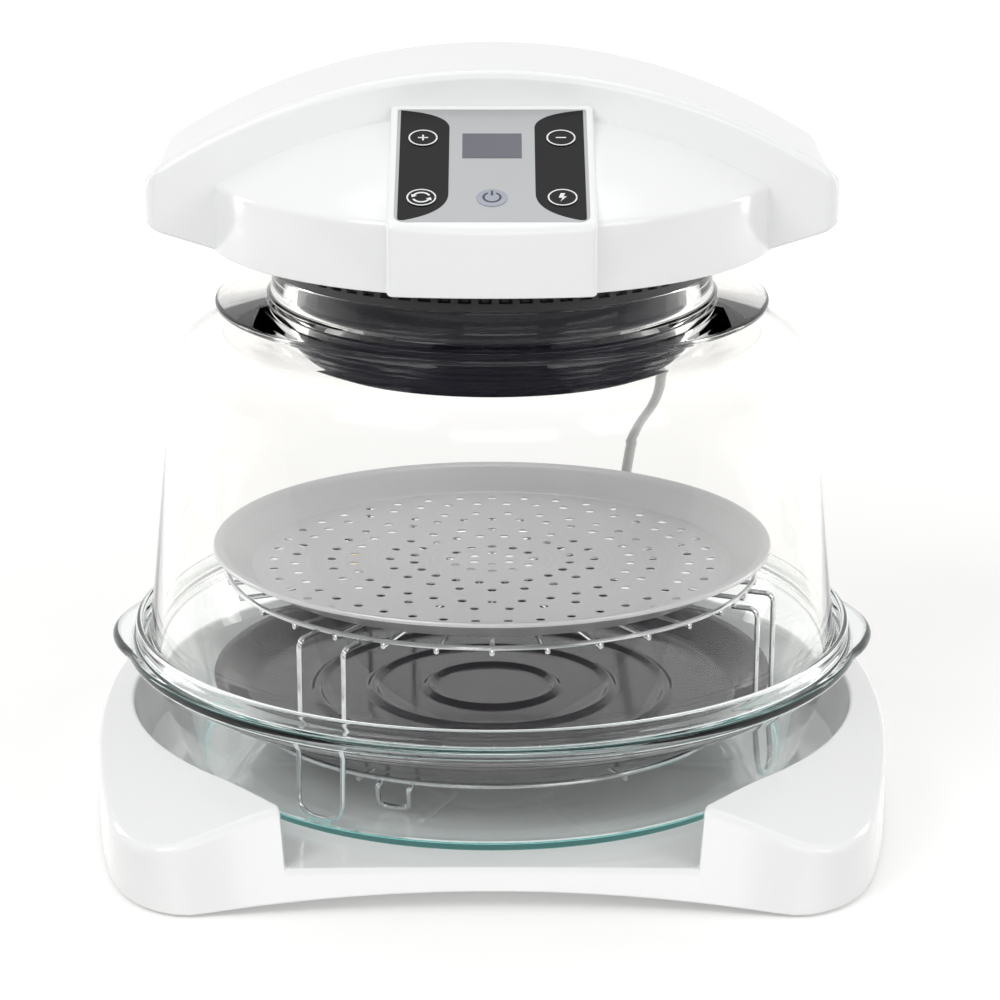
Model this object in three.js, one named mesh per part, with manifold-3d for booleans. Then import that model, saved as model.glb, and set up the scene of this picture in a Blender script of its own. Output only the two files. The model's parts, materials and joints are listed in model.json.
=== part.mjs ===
// A countertop halogen oven: moulded base, glass dish, racks, pan, tray, glass dome and a lift-off power head.
// Millimetres. Z is up, the front faces -Y, and the origin is on the worktop under the oven's axis.
import * as THREE from 'three';
import { mergeVertices } from 'three/addons/utils/BufferGeometryUtils.js';
import Module from 'manifold-3d';

const wasm = await Module();
wasm.setup();

// Clearance between pieces that touch, and the overrun of every cut
const clearance = 0.3;
const overrun = 2;

// How finely round things are divided
const large_sides = 36;
const medium_sides = large_sides / 2;
const small_sides = 14;
const tiny_sides = 8;
const wire_sides = 5;
const spoke_sides = 4;
const curve_steps = 4;
const bend_steps = 2;

// Pressed glass dish: its wall's top radius sets the base, the racks and the dome
const dish_wall_top_radius = 190;
const dish_wall = 6.5;
const dish_heel_inset = 19;
const dish_heel_height = 8;
const dish_foot_inset = 28;
const dish_floor_edge_inset = 29;
const dish_floor_thickness = 6;
const dish_ledge_height = 62.7;
const dish_ledge_width = 8;
const dish_lip_wall = 4;
const dish_lip_height = 14;
const dish_flange_width = 5.8;
const dish_flange_thickness = 6;
const ear_length = 7.7;
const ear_radius = 90;
const dish_foot_radius = dish_wall_top_radius - dish_foot_inset;
const dish_heel_radius = dish_wall_top_radius - dish_heel_inset;
const dish_inner_floor_radius = dish_wall_top_radius - dish_floor_edge_inset;
const dish_lip_inner = dish_wall_top_radius + dish_ledge_width - dish_wall;
const dish_lip_outer = dish_lip_inner + dish_lip_wall;
const dish_flange_radius = dish_lip_outer + dish_flange_width;
const dish_inner_top_radius = dish_lip_inner - dish_ledge_width;
const ear_reach = dish_flange_radius + ear_length;

// Moulded base, with four corner posts round the dish
const base_side_margin = 17;
const base_front_margin = 2;
const base_front_inset = 10;
const base_corner_width = 58;
const base_corner_depth = 56;
const base_corner_side_inset = 16;
const base_wall = 3;
const base_rim_height = 1.5;
const base_floor_height = 22;
const base_front_lean_share = 0.05;
const base_arch_inset = 7;
const base_arch_rise = 9;
const well_top_gap = 8;
const well_floor_gap = 19;
const well_depth = 32;
const post_top_slope_share = 0.327;
const post_front_width = 52;
const post_gap_spread = 7;
const well_top_radius = dish_wall_top_radius + well_top_gap;
const well_floor_radius = dish_heel_radius + well_floor_gap;
const well_top_height = base_floor_height + well_depth;
const base_half_width = well_top_radius + base_side_margin;
const base_half_depth = well_top_radius + base_front_margin;
const base_corner_x = base_half_width - base_corner_width;
const base_corner_y = base_half_depth - base_corner_depth;
const base_corner_side_x = base_half_width - base_corner_side_inset;
const base_arch_half_width = base_corner_x - base_arch_inset;
const post_gap_half_width = base_corner_x - post_front_width;

// Rubber feet, each with a stem in a boss of the base
const foot_side_inset = 57;
const foot_front_inset = 42;
const foot_radius = 12;
const foot_height = 5.7;
const foot_stem_radius = 3.7;
const foot_stem_length = 9;
const foot_boss_wall = 5;
const foot_x = base_half_width - foot_side_inset;
const foot_y = base_half_depth - foot_front_inset;
const foot_boss_radius = foot_stem_radius + clearance + foot_boss_wall;

// Wire racks, the enamelled drip pan and the perforated tray, from the high rack's legs inwards
const wire_radius = 1.5;
const spoke_weld_share = 1.8;
const leg_weld_share = 1.3;
const rack_bend = 5;
const rack_foot_bend_share = 0.85;
const rack_leg_start = 14;
const high_rack_leg_inset = 3.8;
const high_rack_leg_overhang = 12.6;
const high_rack_leg_width = 28;
const high_rack_height = 98.7;
const high_rack_inner_radius = 30;
const high_rack_spokes = 24;
const high_rack_spoke_overhang = 2.5;
const high_rack_leg_turn_shares = [-0.0938, 0.1875, 0.5625];
const high_rack_leg_radius = dish_inner_floor_radius - high_rack_leg_inset;
const high_rack_radius = high_rack_leg_radius - high_rack_leg_overhang;
const pan_leg_gap = 3.2;
const pan_flare = 20;
const pan_depth = 14;
const pan_sheet = 1;
const pan_lip_width = 4;
const pan_rim_radius = high_rack_leg_radius - pan_leg_gap;
const pan_floor_radius = pan_rim_radius - pan_flare;
const low_rack_overhang = 4;
const low_rack_leg_lean = 16;
const low_rack_leg_width = 17;
const low_rack_height = 23.2;
const low_rack_inner_radius = 40;
const low_rack_spokes = 6;
const low_rack_leg_turn_shares = [-0.0578, 0.2755, 0.6089];
const low_rack_radius = pan_floor_radius + low_rack_overhang;
const low_rack_foot_radius = low_rack_radius - low_rack_leg_lean;
const tray_overhang = 7.9;
const tray_flare = 20.5;
const tray_depth = 14.4;
const tray_sheet = 1;
const tray_lip_width = 5;
const tray_rim_radius = high_rack_radius + tray_overhang;
const tray_floor_radius = tray_rim_radius - tray_flare;
const hole_radius = 2.5;
const hole_sides = 5;
const hole_first_ring = 20;
const hole_margin = 16;
const hole_rings = 4;
const hole_first_count = 6;
const hole_count_step = 6;
const hole_ring_step = (tray_floor_radius - hole_margin - hole_first_ring) / (hole_rings - 1);

// Heater housing, which hangs in the dome's collar, and what it holds
const housing_radius = 106;
const housing_depth = 59;
const housing_sheet = 1.2;
const housing_lip = 8;
const guard_sheet = 1.2;
const guard_slots = medium_sides;
const guard_slot_width = 6;
const guard_slot_start = 34;
const guard_slot_margin = 12.5;
const wool_thickness = 11.9;
const reflector_sheet = 1;
const reflector_skirt = 16;
const lamp_ring_inset = 29;
const lamp_tube_radius = 5;
const lamp_drop = 28;
const lamp_opening_share = 0.07;
const lamp_bend = 12;
const lamp_steps = 18;
const holder_size = 14;
const holder_height = 12;
const probe_radius = 3;
const probe_length = 24;
const probe_inset = 14;
const lamp_ring_radius = housing_radius - lamp_ring_inset;
const probe_reach = lamp_ring_radius - probe_inset;

// Glass dome, which stands on the dish's ledge
const dome_seat_gap = 1.8;
const dome_bead = 1.2;
const dome_bead_height = 5;
const dome_wall = 4.5;
const dome_wall_height = 152.7;
const dome_wall_lean_share = 0.104;
const dome_shoulder_run = 24.6;
const dome_shoulder_rise = 28;
const neck_gap = 8.3;
const neck_wall = 3.7;
const grip_reach = 30.5;
const grip_rise = 8.5;
const grip_thickness = 4.5;
const collar_rise = 20.5;
const dome_foot_radius = dish_lip_inner - dome_seat_gap - dome_bead;
const dome_shoulder_radius = dome_foot_radius - dome_wall_height * dome_wall_lean_share;
const dome_roof_radius = dome_shoulder_radius - dome_shoulder_run;
const collar_bore = housing_radius + neck_gap;
const neck_radius = collar_bore + neck_wall;
const grip_radius = neck_radius + grip_reach;

// Vent ring between the collar and the head
const vent_ring_height = 12.4;
const vent_ring_lip = 1.7;
const vent_ring_wall = 7;
const vent_ring_flange = 2;
const vent_slots = large_sides;
const vent_slot_width = 10;
const vent_slot_height = 5;
const vent_ring_radius = neck_radius + vent_ring_lip;

// Power head: wing-shaped band over a round body
const head_wall = 2.8;
const body_overhang = 32.3;
const body_skirt_height = 38;
const body_crown_height = 43;
const head_height = 98;
const band_half_depth = 49;
const band_reach = 29;
const band_arch_radius = 320;
const band_tip_rise = 15;
const band_tip_run = 40;
const band_corner_radius = 14;
const body_radius = vent_ring_radius + body_overhang;
const body_crown_radius = (body_radius ** 2 + body_crown_height ** 2) / (2 * body_crown_height);
const band_half_length = body_radius + band_reach;

// Control console on the front of the head
const console_half_width = 52;
const console_reach = 3.5;
const console_bow = 2;
const console_wall = 2.5;
const panel_front_margin = 5.5;
const panel_back_margin = 4;
const panel_side_margin = 3.5;
const panel_lip_height = 40;
const panel_rise = 38.5;
const panel_thickness = 1.2;
const panel_corner = 6;
const panel_ledge = 3.5;
const window_width = 30;
const window_height = 23;
const window_from_top = 35;
const key_radius = 7.7;
const key_thickness = 1.4;
const key_proud = 0.4;
const key_stem_radius = 1.6;
const key_travel = 0.5;
const key_side_margin = 13.5;
const upper_key_from_top = 28;
const lower_key_from_bottom = 21.36;
const board_drop = 6;
const board_thickness = 1.6;
const board_post_radius = 2.2;
const buzzer_radius = 6;
const buzzer_height = 6;
const console_front = body_radius + console_reach;
const panel_low_y = console_front - panel_front_margin;
const panel_run = panel_low_y - band_half_depth - panel_back_margin;
const panel_width = 2 * (console_half_width - panel_side_margin);
const side_key_x = panel_width / 2 - key_side_margin;

// Motor, the two fans on its shaft, and the deck that carries them
const shaft_radius = 3;
const shaft_tip = 1.4;
const fan_tip_gap = 6;
const fan_radius = probe_reach - probe_radius - fan_tip_gap;
const fan_blades = 6;
const fan_blade_height = 12;
const fan_blade_sheet = 1.2;
const fan_hub_radius = 9;
const fan_guard_gap = 10.3;
const nut_radius = 6;
const nut_sides = 6;
const nut_height = 5;
const cooler_radius = 50;
const cooler_blade_height = 11;
const cooler_gap = 4.7;
const motor_gap = 3.6;
const bracket_sheet = 2;
const bracket_clear = 10;
const bracket_half_width = 12;
const bracket_leg_radius = 3;
const deck_lap = 8;
const deck_sheet = 1.5;
const stator_half_width = 30;
const stator_half_depth = 24;
const stator_height = 20;
const rotor_radius = 15;
const air_gap = 0.5;
const coil_depth = 14;
const coil_half_width = 14;
const bridge_half_length = 26;
const bridge_rise = 6;
const bracket_half_length = cooler_radius + bracket_clear;
const cover_opening_radius = cooler_radius + bracket_clear;
const deck_radius = cover_opening_radius + deck_lap;

// Lower cover, its screws and the wiring parts on it
const cover_sheet = 2.5;
const screw_inset = 24;
const screw_head_radius = 3.5;
const screw_head_height = 2.2;
const screw_shank_radius = 1.4;
const screw_length = 14;
const screw_boss_radius = 4.2;
const terminal_length = 30;
const terminal_depth = 16;
const terminal_height = 12;
const fuse_length = 20;
const fuse_depth = 8;
const fuse_height = 6;
const screw_circle = body_radius - screw_inset;

// Mains cord: its exit on the rear of the head, its coil behind the oven, and its plug
const cord_radius = 3.25;
const cord_sides = 8;
const cord_steps = 30;
const cord_exit_turn_share = 0.0694;
const cord_exit_rise = 18;
const relief_length = 34;
const relief_collar_radius = 8;
const relief_collar_length = 4;
const relief_tip_radius = 4.4;
const relief_neck_radius = 5.6;
const coil_x = -10;
const coil_distance = 102;
const coil_outer_radius = 43;
const coil_pitch = 7.1;
const coil_lift = 4.7;
const coil_turns = 4.25;
const coil_loop_steps = 24;
const coil_sides = 6;
const tie_width = 6;
const tie_sheet = 0.8;
const tie_turn_share = 0.6;
const tail_length = 32;
const tail_steps = 3;
const plug_radius = 18.5;
const plug_face_length = 16;
const plug_body_length = 40;
const plug_grip_radius = 5.5;
const pin_radius = 2.4;
const pin_length = 19;
const pin_spacing = 19;
const coil_y = base_half_depth + coil_distance;

// Heights, from the worktop up
const dish_bottom = base_floor_height + clearance;
const dish_floor = dish_bottom + dish_floor_thickness;
const dish_ledge = dish_bottom + dish_ledge_height;
const dish_lip_top = dish_ledge + dish_lip_height;
const dish_flange_top = dish_ledge + dish_flange_thickness - clearance;
const dome_bottom = dish_ledge + clearance;
const dome_shoulder_height = dome_bottom + dome_wall_height;
const dome_roof_height = dome_shoulder_height + dome_shoulder_rise;
const grip_height = dome_roof_height + grip_rise;
const collar_height = grip_height + collar_rise;
const ring_bottom = collar_height + clearance;
const ring_top = ring_bottom + vent_ring_height;
const head_bottom = ring_top + clearance;
const housing_bottom = head_bottom - housing_depth;
const guard_bottom = housing_bottom + housing_sheet + clearance;
const wool_top = head_bottom - clearance;
const wool_bottom = wool_top - wool_thickness;
const reflector_top = wool_bottom - clearance;
const lower_cover_top = head_bottom + cover_sheet;
const band_peak = head_bottom + head_height;
const panel_low_z = head_bottom + panel_lip_height;
const cord_exit_height = head_bottom + cord_exit_rise;
const deck_bottom = lower_cover_top + clearance;
const deck_top = deck_bottom + deck_sheet;
const cooler_bottom = deck_top + cooler_gap;
const motor_bottom = cooler_bottom + cooler_blade_height + 2 * fan_blade_sheet + motor_gap;
const bracket_top = motor_bottom + bracket_sheet;
const stator_bottom = bracket_top + clearance;
const stator_top = stator_bottom + stator_height;
const bridge_foot = stator_top + clearance;
const fan_bottom = guard_bottom + guard_sheet + fan_guard_gap;
const nut_top = fan_bottom - clearance;
const shaft_bottom = nut_top - nut_height - shaft_tip;
const shaft_top = bridge_foot + bridge_rise + bracket_sheet + shaft_tip;

const full_turn = 2 * Math.PI;

// Finishes
function finish(color, roughness, metalness, opacity = 1) {
  return new THREE.MeshStandardMaterial({ color, roughness, metalness, opacity, transparent: opacity < 1 });
}
const white_plastic = finish(0xf2f3f1, 0.3, 0);
const black_plastic = finish(0x17181a, 0.45, 0);
const clear_glass = finish(0xdfe9e4, 0.05, 0, 0.3);
const dish_glass = finish(0xbfd8d0, 0.05, 0, 0.35);
const chrome_wire = finish(0xc9cccf, 0.18, 1);
const enamel = finish(0x3a383f, 0.3, 0);
const tray_coat = finish(0xa9abae, 0.45, 0.5);
const silver_film = finish(0x9ea1a4, 0.35, 0.3);
const lcd_glass = finish(0x5d6572, 0.2, 0);
const dark_steel = finish(0x2b2c31, 0.35, 0.8);
const bright_steel = finish(0xc4c6c8, 0.3, 1);
const quartz = finish(0xe9ebee, 0.1, 0, 0.5);
const ceramic_white = finish(0xe6e1d6, 0.6, 0);
const wool_board = finish(0xcfc8b8, 0.9, 0);
const board_green = finish(0x1f5c3a, 0.5, 0);
const copper_wire = finish(0xb0683a, 0.4, 1);
const grey_rubber = finish(0x55575a, 0.8, 0);
const cord_grey = finish(0xd7d8d6, 0.5, 0);
const brass_pin = finish(0xc9b06a, 0.3, 1);

// Merges shared points, drops empty triangles and turns the faces outwards.
function closed(geometry) {
  const bare = geometry.clone();
  bare.deleteAttribute('normal');
  bare.deleteAttribute('uv');
  const merged = mergeVertices(bare);
  const corners = merged.index.array;
  const kept = [];
  const [a, b, c] = [new THREE.Vector3(), new THREE.Vector3(), new THREE.Vector3()];
  let volume = 0;
  for (let i = 0; i < corners.length; i += 3) {
    const [p, q, r] = [corners[i], corners[i + 1], corners[i + 2]];
    if (p === q || q === r || r === p) continue;
    kept.push(p, q, r);
    a.fromBufferAttribute(merged.attributes.position, p);
    b.fromBufferAttribute(merged.attributes.position, q);
    c.fromBufferAttribute(merged.attributes.position, r);
    volume += a.dot(b.cross(c));
  }
  merged.setIndex(volume < 0 ? kept.reverse() : kept);
  return merged;
}

// Turns a geometry into a solid for joining and cutting.
function solid(geometry) {
  const shape = closed(geometry);
  return new wasm.Manifold(new wasm.Mesh({
    numProp: 3,
    vertProperties: new Float32Array(shape.attributes.position.array),
    triVerts: new Uint32Array(shape.index.array),
  }));
}

// Turns a solid back into a geometry.
function geometryOf(body) {
  const mesh = body.getMesh();
  const geometry = new THREE.BufferGeometry();
  geometry.setAttribute('position', new THREE.BufferAttribute(new Float32Array(mesh.vertProperties), 3));
  geometry.setIndex(Array.from(mesh.triVerts));
  return geometry;
}

function joined(parts) {
  return parts.reduce((whole, part) => whole.add(part));
}

// Revolves an [r, z] outline round the Z axis.
function turned(outline, sides) {
  const points = outline.map(([r, z]) => new THREE.Vector2(r, z));
  return new THREE.LatheGeometry(points, sides).rotateX(Math.PI / 2);
}

// Revolves a closed [r, z] outline that doesn't touch the axis.
function turnedRing(outline, sides) {
  return turned([...outline, outline[0]], sides);
}

function drum(radius, from_z, to_z, sides, x = 0, y = 0) {
  return turned([[0, from_z], [radius, from_z], [radius, to_z], [0, to_z]], sides).translate(x, y, 0);
}

function block(from, to) {
  const size = to.map((value, i) => value - from[i]);
  const middle = to.map((value, i) => (value + from[i]) / 2);
  return new THREE.BoxGeometry(...size).translate(...middle);
}

// Extrudes an outline drawn in plan.
function prism(outline, from_z, to_z) {
  const options = { depth: to_z - from_z, bevelEnabled: false, curveSegments: curve_steps };
  return new THREE.ExtrudeGeometry(outline, options).translate(0, 0, from_z);
}

// Extrudes an outline drawn in X and Z along Y.
function across(outline, from_y, to_y) {
  const options = { depth: to_y - from_y, bevelEnabled: false, curveSegments: curve_steps };
  return new THREE.ExtrudeGeometry(outline, options).rotateX(Math.PI / 2).translate(0, to_y, 0);
}

function polygon(points) {
  return new THREE.Shape(points.map(([x, y]) => new THREE.Vector2(x, y)));
}

// A round section carried along a curve.
function tube(curve, radius, sides, steps) {
  const section = [];
  for (let i = 0; i < sides; i++) {
    const angle = full_turn * i / sides;
    section.push([radius * Math.cos(angle), radius * Math.sin(angle)]);
  }
  const options = { steps, extrudePath: curve, bevelEnabled: false };
  return new THREE.ExtrudeGeometry(polygon(section), options);
}

function vector(x, y, z) {
  return new THREE.Vector3(x, y, z);
}

// The place at an angle round the axis, counted from +X towards +Y.
function around(angle, radius, z) {
  return vector(radius * Math.cos(angle), radius * Math.sin(angle), z);
}

const oven = new THREE.Group();
function piece(name, geometry, material, parent = oven) {
  const mesh = new THREE.Mesh(closed(geometry), material);
  mesh.name = name;
  parent.add(mesh);
  return mesh;
}

// Base

function basePlan(inset) {
  const half_width = base_half_width - inset;
  const half_depth = base_half_depth - inset;
  const corner_x = base_corner_x - inset / 2;
  const corner_y = base_corner_y - inset / 2;
  const side_x = base_corner_side_x - inset;
  const bow_y = half_depth - 2 * base_front_inset;
  const bow_x = 2 * half_width - side_x;
  const pull_x = (corner_x + 3 * side_x) / 4;
  const pull_y = (corner_y + 6 * half_depth) / 7;
  const plan = new THREE.Shape();
  plan.moveTo(-corner_x, -half_depth);
  plan.quadraticCurveTo(0, -bow_y, corner_x, -half_depth);
  plan.quadraticCurveTo(pull_x, -pull_y, side_x, -corner_y);
  plan.quadraticCurveTo(bow_x, 0, side_x, corner_y);
  plan.quadraticCurveTo(pull_x, pull_y, corner_x, half_depth);
  plan.quadraticCurveTo(0, bow_y, -corner_x, half_depth);
  plan.quadraticCurveTo(-pull_x, pull_y, -side_x, corner_y);
  plan.quadraticCurveTo(-bow_x, 0, -side_x, -corner_y);
  plan.quadraticCurveTo(-pull_x, -pull_y, -corner_x, -half_depth);
  return plan;
}

function baseRoof(drop) {
  const reach = base_half_width + base_half_depth;
  const fall = (reach - well_top_radius) * post_top_slope_share;
  return turned([
    [0, -reach],
    [reach, -reach],
    [reach, well_top_height - drop - fall],
    [well_top_radius, well_top_height - drop],
    [0, well_top_height - drop],
  ], large_sides);
}

function baseWell(wall) {
  const lean = (well_top_radius - well_floor_radius) / (well_top_height - base_floor_height);
  const top = well_top_height + overrun;
  return turned([
    [0, base_floor_height - wall],
    [well_floor_radius + wall, base_floor_height - wall],
    [well_top_radius + wall + overrun * lean, top],
    [0, top],
  ], large_sides);
}

function basePostGap(wall) {
  const top = well_top_height + overrun;
  const bottom = base_floor_height - wall;
  const reach = base_half_depth + overrun;
  return across(polygon([
    [-post_gap_half_width - wall, bottom],
    [post_gap_half_width + wall, bottom],
    [post_gap_half_width + post_gap_spread + wall, top],
    [-post_gap_half_width - post_gap_spread - wall, top],
  ]), -reach, reach);
}

function baseArch() {
  const low = base_rim_height - overrun;
  const reach = base_half_depth + overrun;
  const arch = new THREE.Shape();
  arch.moveTo(-base_arch_half_width, low);
  arch.lineTo(base_arch_half_width, low);
  arch.lineTo(base_arch_half_width, base_rim_height);
  arch.quadraticCurveTo(0, base_rim_height + 2 * base_arch_rise, -base_arch_half_width, base_rim_height);
  return across(arch, -reach, reach);
}

const foot_places = [
  ['front_left', -foot_x, -foot_y],
  ['front_right', foot_x, -foot_y],
  ['rear_left', -foot_x, foot_y],
  ['rear_right', foot_x, foot_y],
];
const foot_boss_bottom = foot_height + clearance;
const foot_socket_top = foot_boss_bottom + foot_stem_length + clearance;

// Draws a block's front and rear walls in towards its top, as the moulding's draft does.
function leaned(block_geometry) {
  const at = block_geometry.attributes.position;
  for (let i = 0; i < at.count; i++) {
    const rise_share = (at.getZ(i) - base_rim_height) / (well_top_height - base_rim_height);
    at.setY(i, at.getY(i) * (1 - base_front_lean_share * rise_share));
  }
  return block_geometry;
}

const base_outer = solid(leaned(prism(basePlan(0), base_rim_height, well_top_height + overrun)))
  .intersect(solid(baseRoof(0)))
  .subtract(solid(baseWell(0)))
  .subtract(solid(basePostGap(0)));
const foot_bosses = joined(foot_places.map(([, x, y]) =>
  solid(drum(foot_boss_radius, foot_boss_bottom, well_top_height, small_sides, x, y))));
const base_hollow = solid(leaned(prism(basePlan(base_wall), base_rim_height - overrun, well_top_height)))
  .intersect(solid(baseRoof(base_wall)))
  .subtract(solid(baseWell(base_wall)))
  .subtract(solid(basePostGap(base_wall)))
  .subtract(foot_bosses);
const foot_sockets = joined(foot_places.map(([, x, y]) => solid(
  drum(foot_stem_radius + clearance, base_rim_height, foot_socket_top, small_sides, x, y))));
const base_solid = base_outer.subtract(base_hollow).subtract(foot_sockets).subtract(solid(baseArch()));
piece('base_shell', geometryOf(base_solid), white_plastic);

const foot_outline = [
  [0, 0],
  [foot_radius, 0],
  [foot_radius, foot_height],
  [foot_stem_radius, foot_height],
  [foot_stem_radius, foot_boss_bottom + foot_stem_length],
  [0, foot_boss_bottom + foot_stem_length],
];
for (const [place, x, y] of foot_places) {
  piece(`foot_${place}`, turned(foot_outline, small_sides).translate(x, y, 0), grey_rubber);
}

// Dish

const dish_outline = [
  [0, dish_bottom],
  [dish_foot_radius, dish_bottom],
  [dish_heel_radius, dish_bottom + dish_heel_height],
  [dish_wall_top_radius, dish_ledge - dish_flange_thickness],
  [dish_lip_outer, dish_ledge - clearance],
  [dish_flange_radius, dish_ledge - clearance],
  [dish_flange_radius, dish_flange_top],
  [dish_lip_outer, dish_flange_top],
  [dish_lip_outer, dish_lip_top],
  [dish_lip_inner, dish_lip_top],
  [dish_lip_inner, dish_ledge],
  [dish_inner_top_radius, dish_ledge],
  [dish_heel_radius - dish_wall, dish_floor + dish_heel_height],
  [dish_inner_floor_radius, dish_floor],
  [0, dish_floor],
];
const ear_bodies = [-1, 1].map((side) => solid(drum(
  ear_radius, dish_ledge - clearance, dish_flange_top, large_sides, side * (ear_reach - ear_radius))));
const ear_core = solid(drum(dish_lip_outer, dish_bottom, dish_lip_top, large_sides));
const dish_solid = solid(turned(dish_outline, large_sides)).add(joined(ear_bodies).subtract(ear_core));
piece('glass_dish', geometryOf(dish_solid), dish_glass);

// Racks

function wireRing(radius, z, sides) {
  return new THREE.TorusGeometry(radius, wire_radius, wire_sides, sides).translate(0, 0, z);
}

function straightWire(from, to) {
  return tube(new THREE.LineCurve3(from, to), wire_radius, spoke_sides, 1);
}

// A path through given points, one step of the sweep to each stretch
class BentPath extends THREE.Curve {
  constructor(points) {
    super();
    this.points = points;
  }
  getPoint(t) {
    const place = t * (this.points.length - 1);
    const i = Math.min(Math.floor(place), this.points.length - 2);
    return this.points[i].clone().lerp(this.points[i + 1], place - i);
  }
  getUtoTmapping(u) {
    return u;
  }
  getTangent(t) {
    const i = Math.round(t * (this.points.length - 1));
    const before = this.points[Math.max(i - 1, 0)];
    const here = this.points[i];
    const after = this.points[Math.min(i + 1, this.points.length - 1)];
    const arriving = here.clone().sub(before).normalize();
    return arriving.add(after.clone().sub(here).normalize()).normalize();
  }
}

// Points of a wire bent at its corners, with a reach along both arms for each.
function bent(corners, reaches) {
  const points = [corners[0]];
  for (let i = 1; i < corners.length - 1; i++) {
    const corner = corners[i];
    const reach = reaches[i - 1];
    const before = corner.clone().add(corners[i - 1].clone().sub(corner).setLength(reach));
    const after = corner.clone().add(corners[i + 1].clone().sub(corner).setLength(reach));
    const bend = new THREE.QuadraticBezierCurve3(before, corner, after);
    points.push(...bend.getPoints(bend_steps));
  }
  points.push(corners[corners.length - 1]);
  return points;
}

// A U of wire: out from under the ring, down, across the dish's floor and back.
function rackLeg(angle, start_radius, top_z, drop_radius, low_radius, low_z, width) {
  const side = vector(-Math.sin(angle), Math.cos(angle), 0);
  const at = (radius, z, offset) => around(angle, radius, z).addScaledVector(side, offset);
  const half = width / 2;
  const foot_bend = half * rack_foot_bend_share;
  const points = bent([
    at(start_radius, top_z, -half),
    at(drop_radius, top_z, -half),
    at(low_radius, low_z, -half),
    at(low_radius, low_z, half),
    at(drop_radius, top_z, half),
    at(start_radius, top_z, half),
  ], [rack_bend, foot_bend, foot_bend, rack_bend]);
  return solid(tube(new BentPath(points), wire_radius, wire_sides, points.length - 1));
}

// Two rings on straight spokes.
function rackTop({ ring_radius, ring_z, inner_radius, spokes, overhang }) {
  const spoke_z = ring_z - spoke_weld_share * wire_radius;
  const parts = [
    solid(wireRing(ring_radius, ring_z, large_sides)),
    solid(wireRing(inner_radius, ring_z, small_sides)),
  ];
  for (let i = 0; i < spokes; i++) {
    const angle = full_turn * i / spokes;
    const from = around(angle, inner_radius - wire_radius, spoke_z);
    parts.push(solid(straightWire(from, around(angle, ring_radius + overhang, spoke_z))));
  }
  return joined(parts);
}

// The three legs of a rack, spaced evenly round it.
function rackLegs({ turn_shares, top_z, drop_radius, low_radius, leg_width }) {
  const low_z = dish_floor + clearance + wire_radius;
  return turn_shares.map((turn_share) => {
    const angle = full_turn * turn_share - Math.PI / 2;
    return rackLeg(angle, drop_radius - rack_leg_start, top_z, drop_radius, low_radius, low_z, leg_width);
  });
}

const low_ring_z = dish_floor + low_rack_height - wire_radius;
const low_rack_top = rackTop({
  ring_radius: low_rack_radius,
  ring_z: low_ring_z,
  inner_radius: low_rack_inner_radius,
  spokes: low_rack_spokes,
  overhang: 0,
});
const low_rack_feet = rackLegs({
  turn_shares: low_rack_leg_turn_shares,
  top_z: low_ring_z - leg_weld_share * wire_radius,
  drop_radius: low_rack_radius + rack_bend,
  low_radius: low_rack_foot_radius,
  leg_width: low_rack_leg_width,
});
piece('low_rack', geometryOf(joined([low_rack_top, ...low_rack_feet])), chrome_wire);

const high_ring_z = dish_floor + high_rack_height - wire_radius;
const high_rack_top = rackTop({
  ring_radius: high_rack_radius,
  ring_z: high_ring_z,
  inner_radius: high_rack_inner_radius,
  spokes: high_rack_spokes,
  overhang: high_rack_spoke_overhang,
});
piece('high_rack', geometryOf(high_rack_top), chrome_wire);
const high_rack_feet = rackLegs({
  turn_shares: high_rack_leg_turn_shares,
  top_z: high_ring_z - 2 * wire_radius - clearance,
  drop_radius: high_rack_leg_radius,
  low_radius: high_rack_leg_radius,
  leg_width: high_rack_leg_width,
});
high_rack_feet.forEach((leg, i) => piece(`high_rack_leg_${i + 1}`, geometryOf(leg), chrome_wire));

// Pan and tray: both are shallow pressings with a flat lip

function pressing(floor_z, floor_radius, rim_radius, depth, sheet, lip_width) {
  const wall_radius = rim_radius - lip_width;
  const rim = floor_z + depth;
  return turned([
    [0, floor_z],
    [floor_radius, floor_z],
    [wall_radius, rim - sheet],
    [rim_radius, rim - sheet],
    [rim_radius, rim],
    [wall_radius - sheet, rim],
    [floor_radius - sheet, floor_z + sheet],
    [0, floor_z + sheet],
  ], large_sides);
}

const pan_bottom = low_ring_z + wire_radius + clearance;
const pan_shape = pressing(pan_bottom, pan_floor_radius, pan_rim_radius, pan_depth, pan_sheet, pan_lip_width);
piece('drip_pan', pan_shape, enamel);

const tray_bottom = high_ring_z + wire_radius + clearance;
const tray_shape = pressing(tray_bottom, tray_floor_radius, tray_rim_radius, tray_depth, tray_sheet, tray_lip_width);
const holes = [];
for (let ring = 0; ring < hole_rings; ring++) {
  const count = hole_first_count + ring * hole_count_step;
  for (let i = 0; i < count; i++) {
    const place = around(full_turn * (i + ring / 2) / count, hole_first_ring + ring * hole_ring_step, 0);
    const low = tray_bottom - overrun;
    holes.push(solid(drum(hole_radius, low, tray_bottom + tray_sheet + overrun, hole_sides, place.x, place.y)));
  }
}
piece('perforated_tray', geometryOf(solid(tray_shape).subtract(joined(holes))), tray_coat);

// Dome

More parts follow.
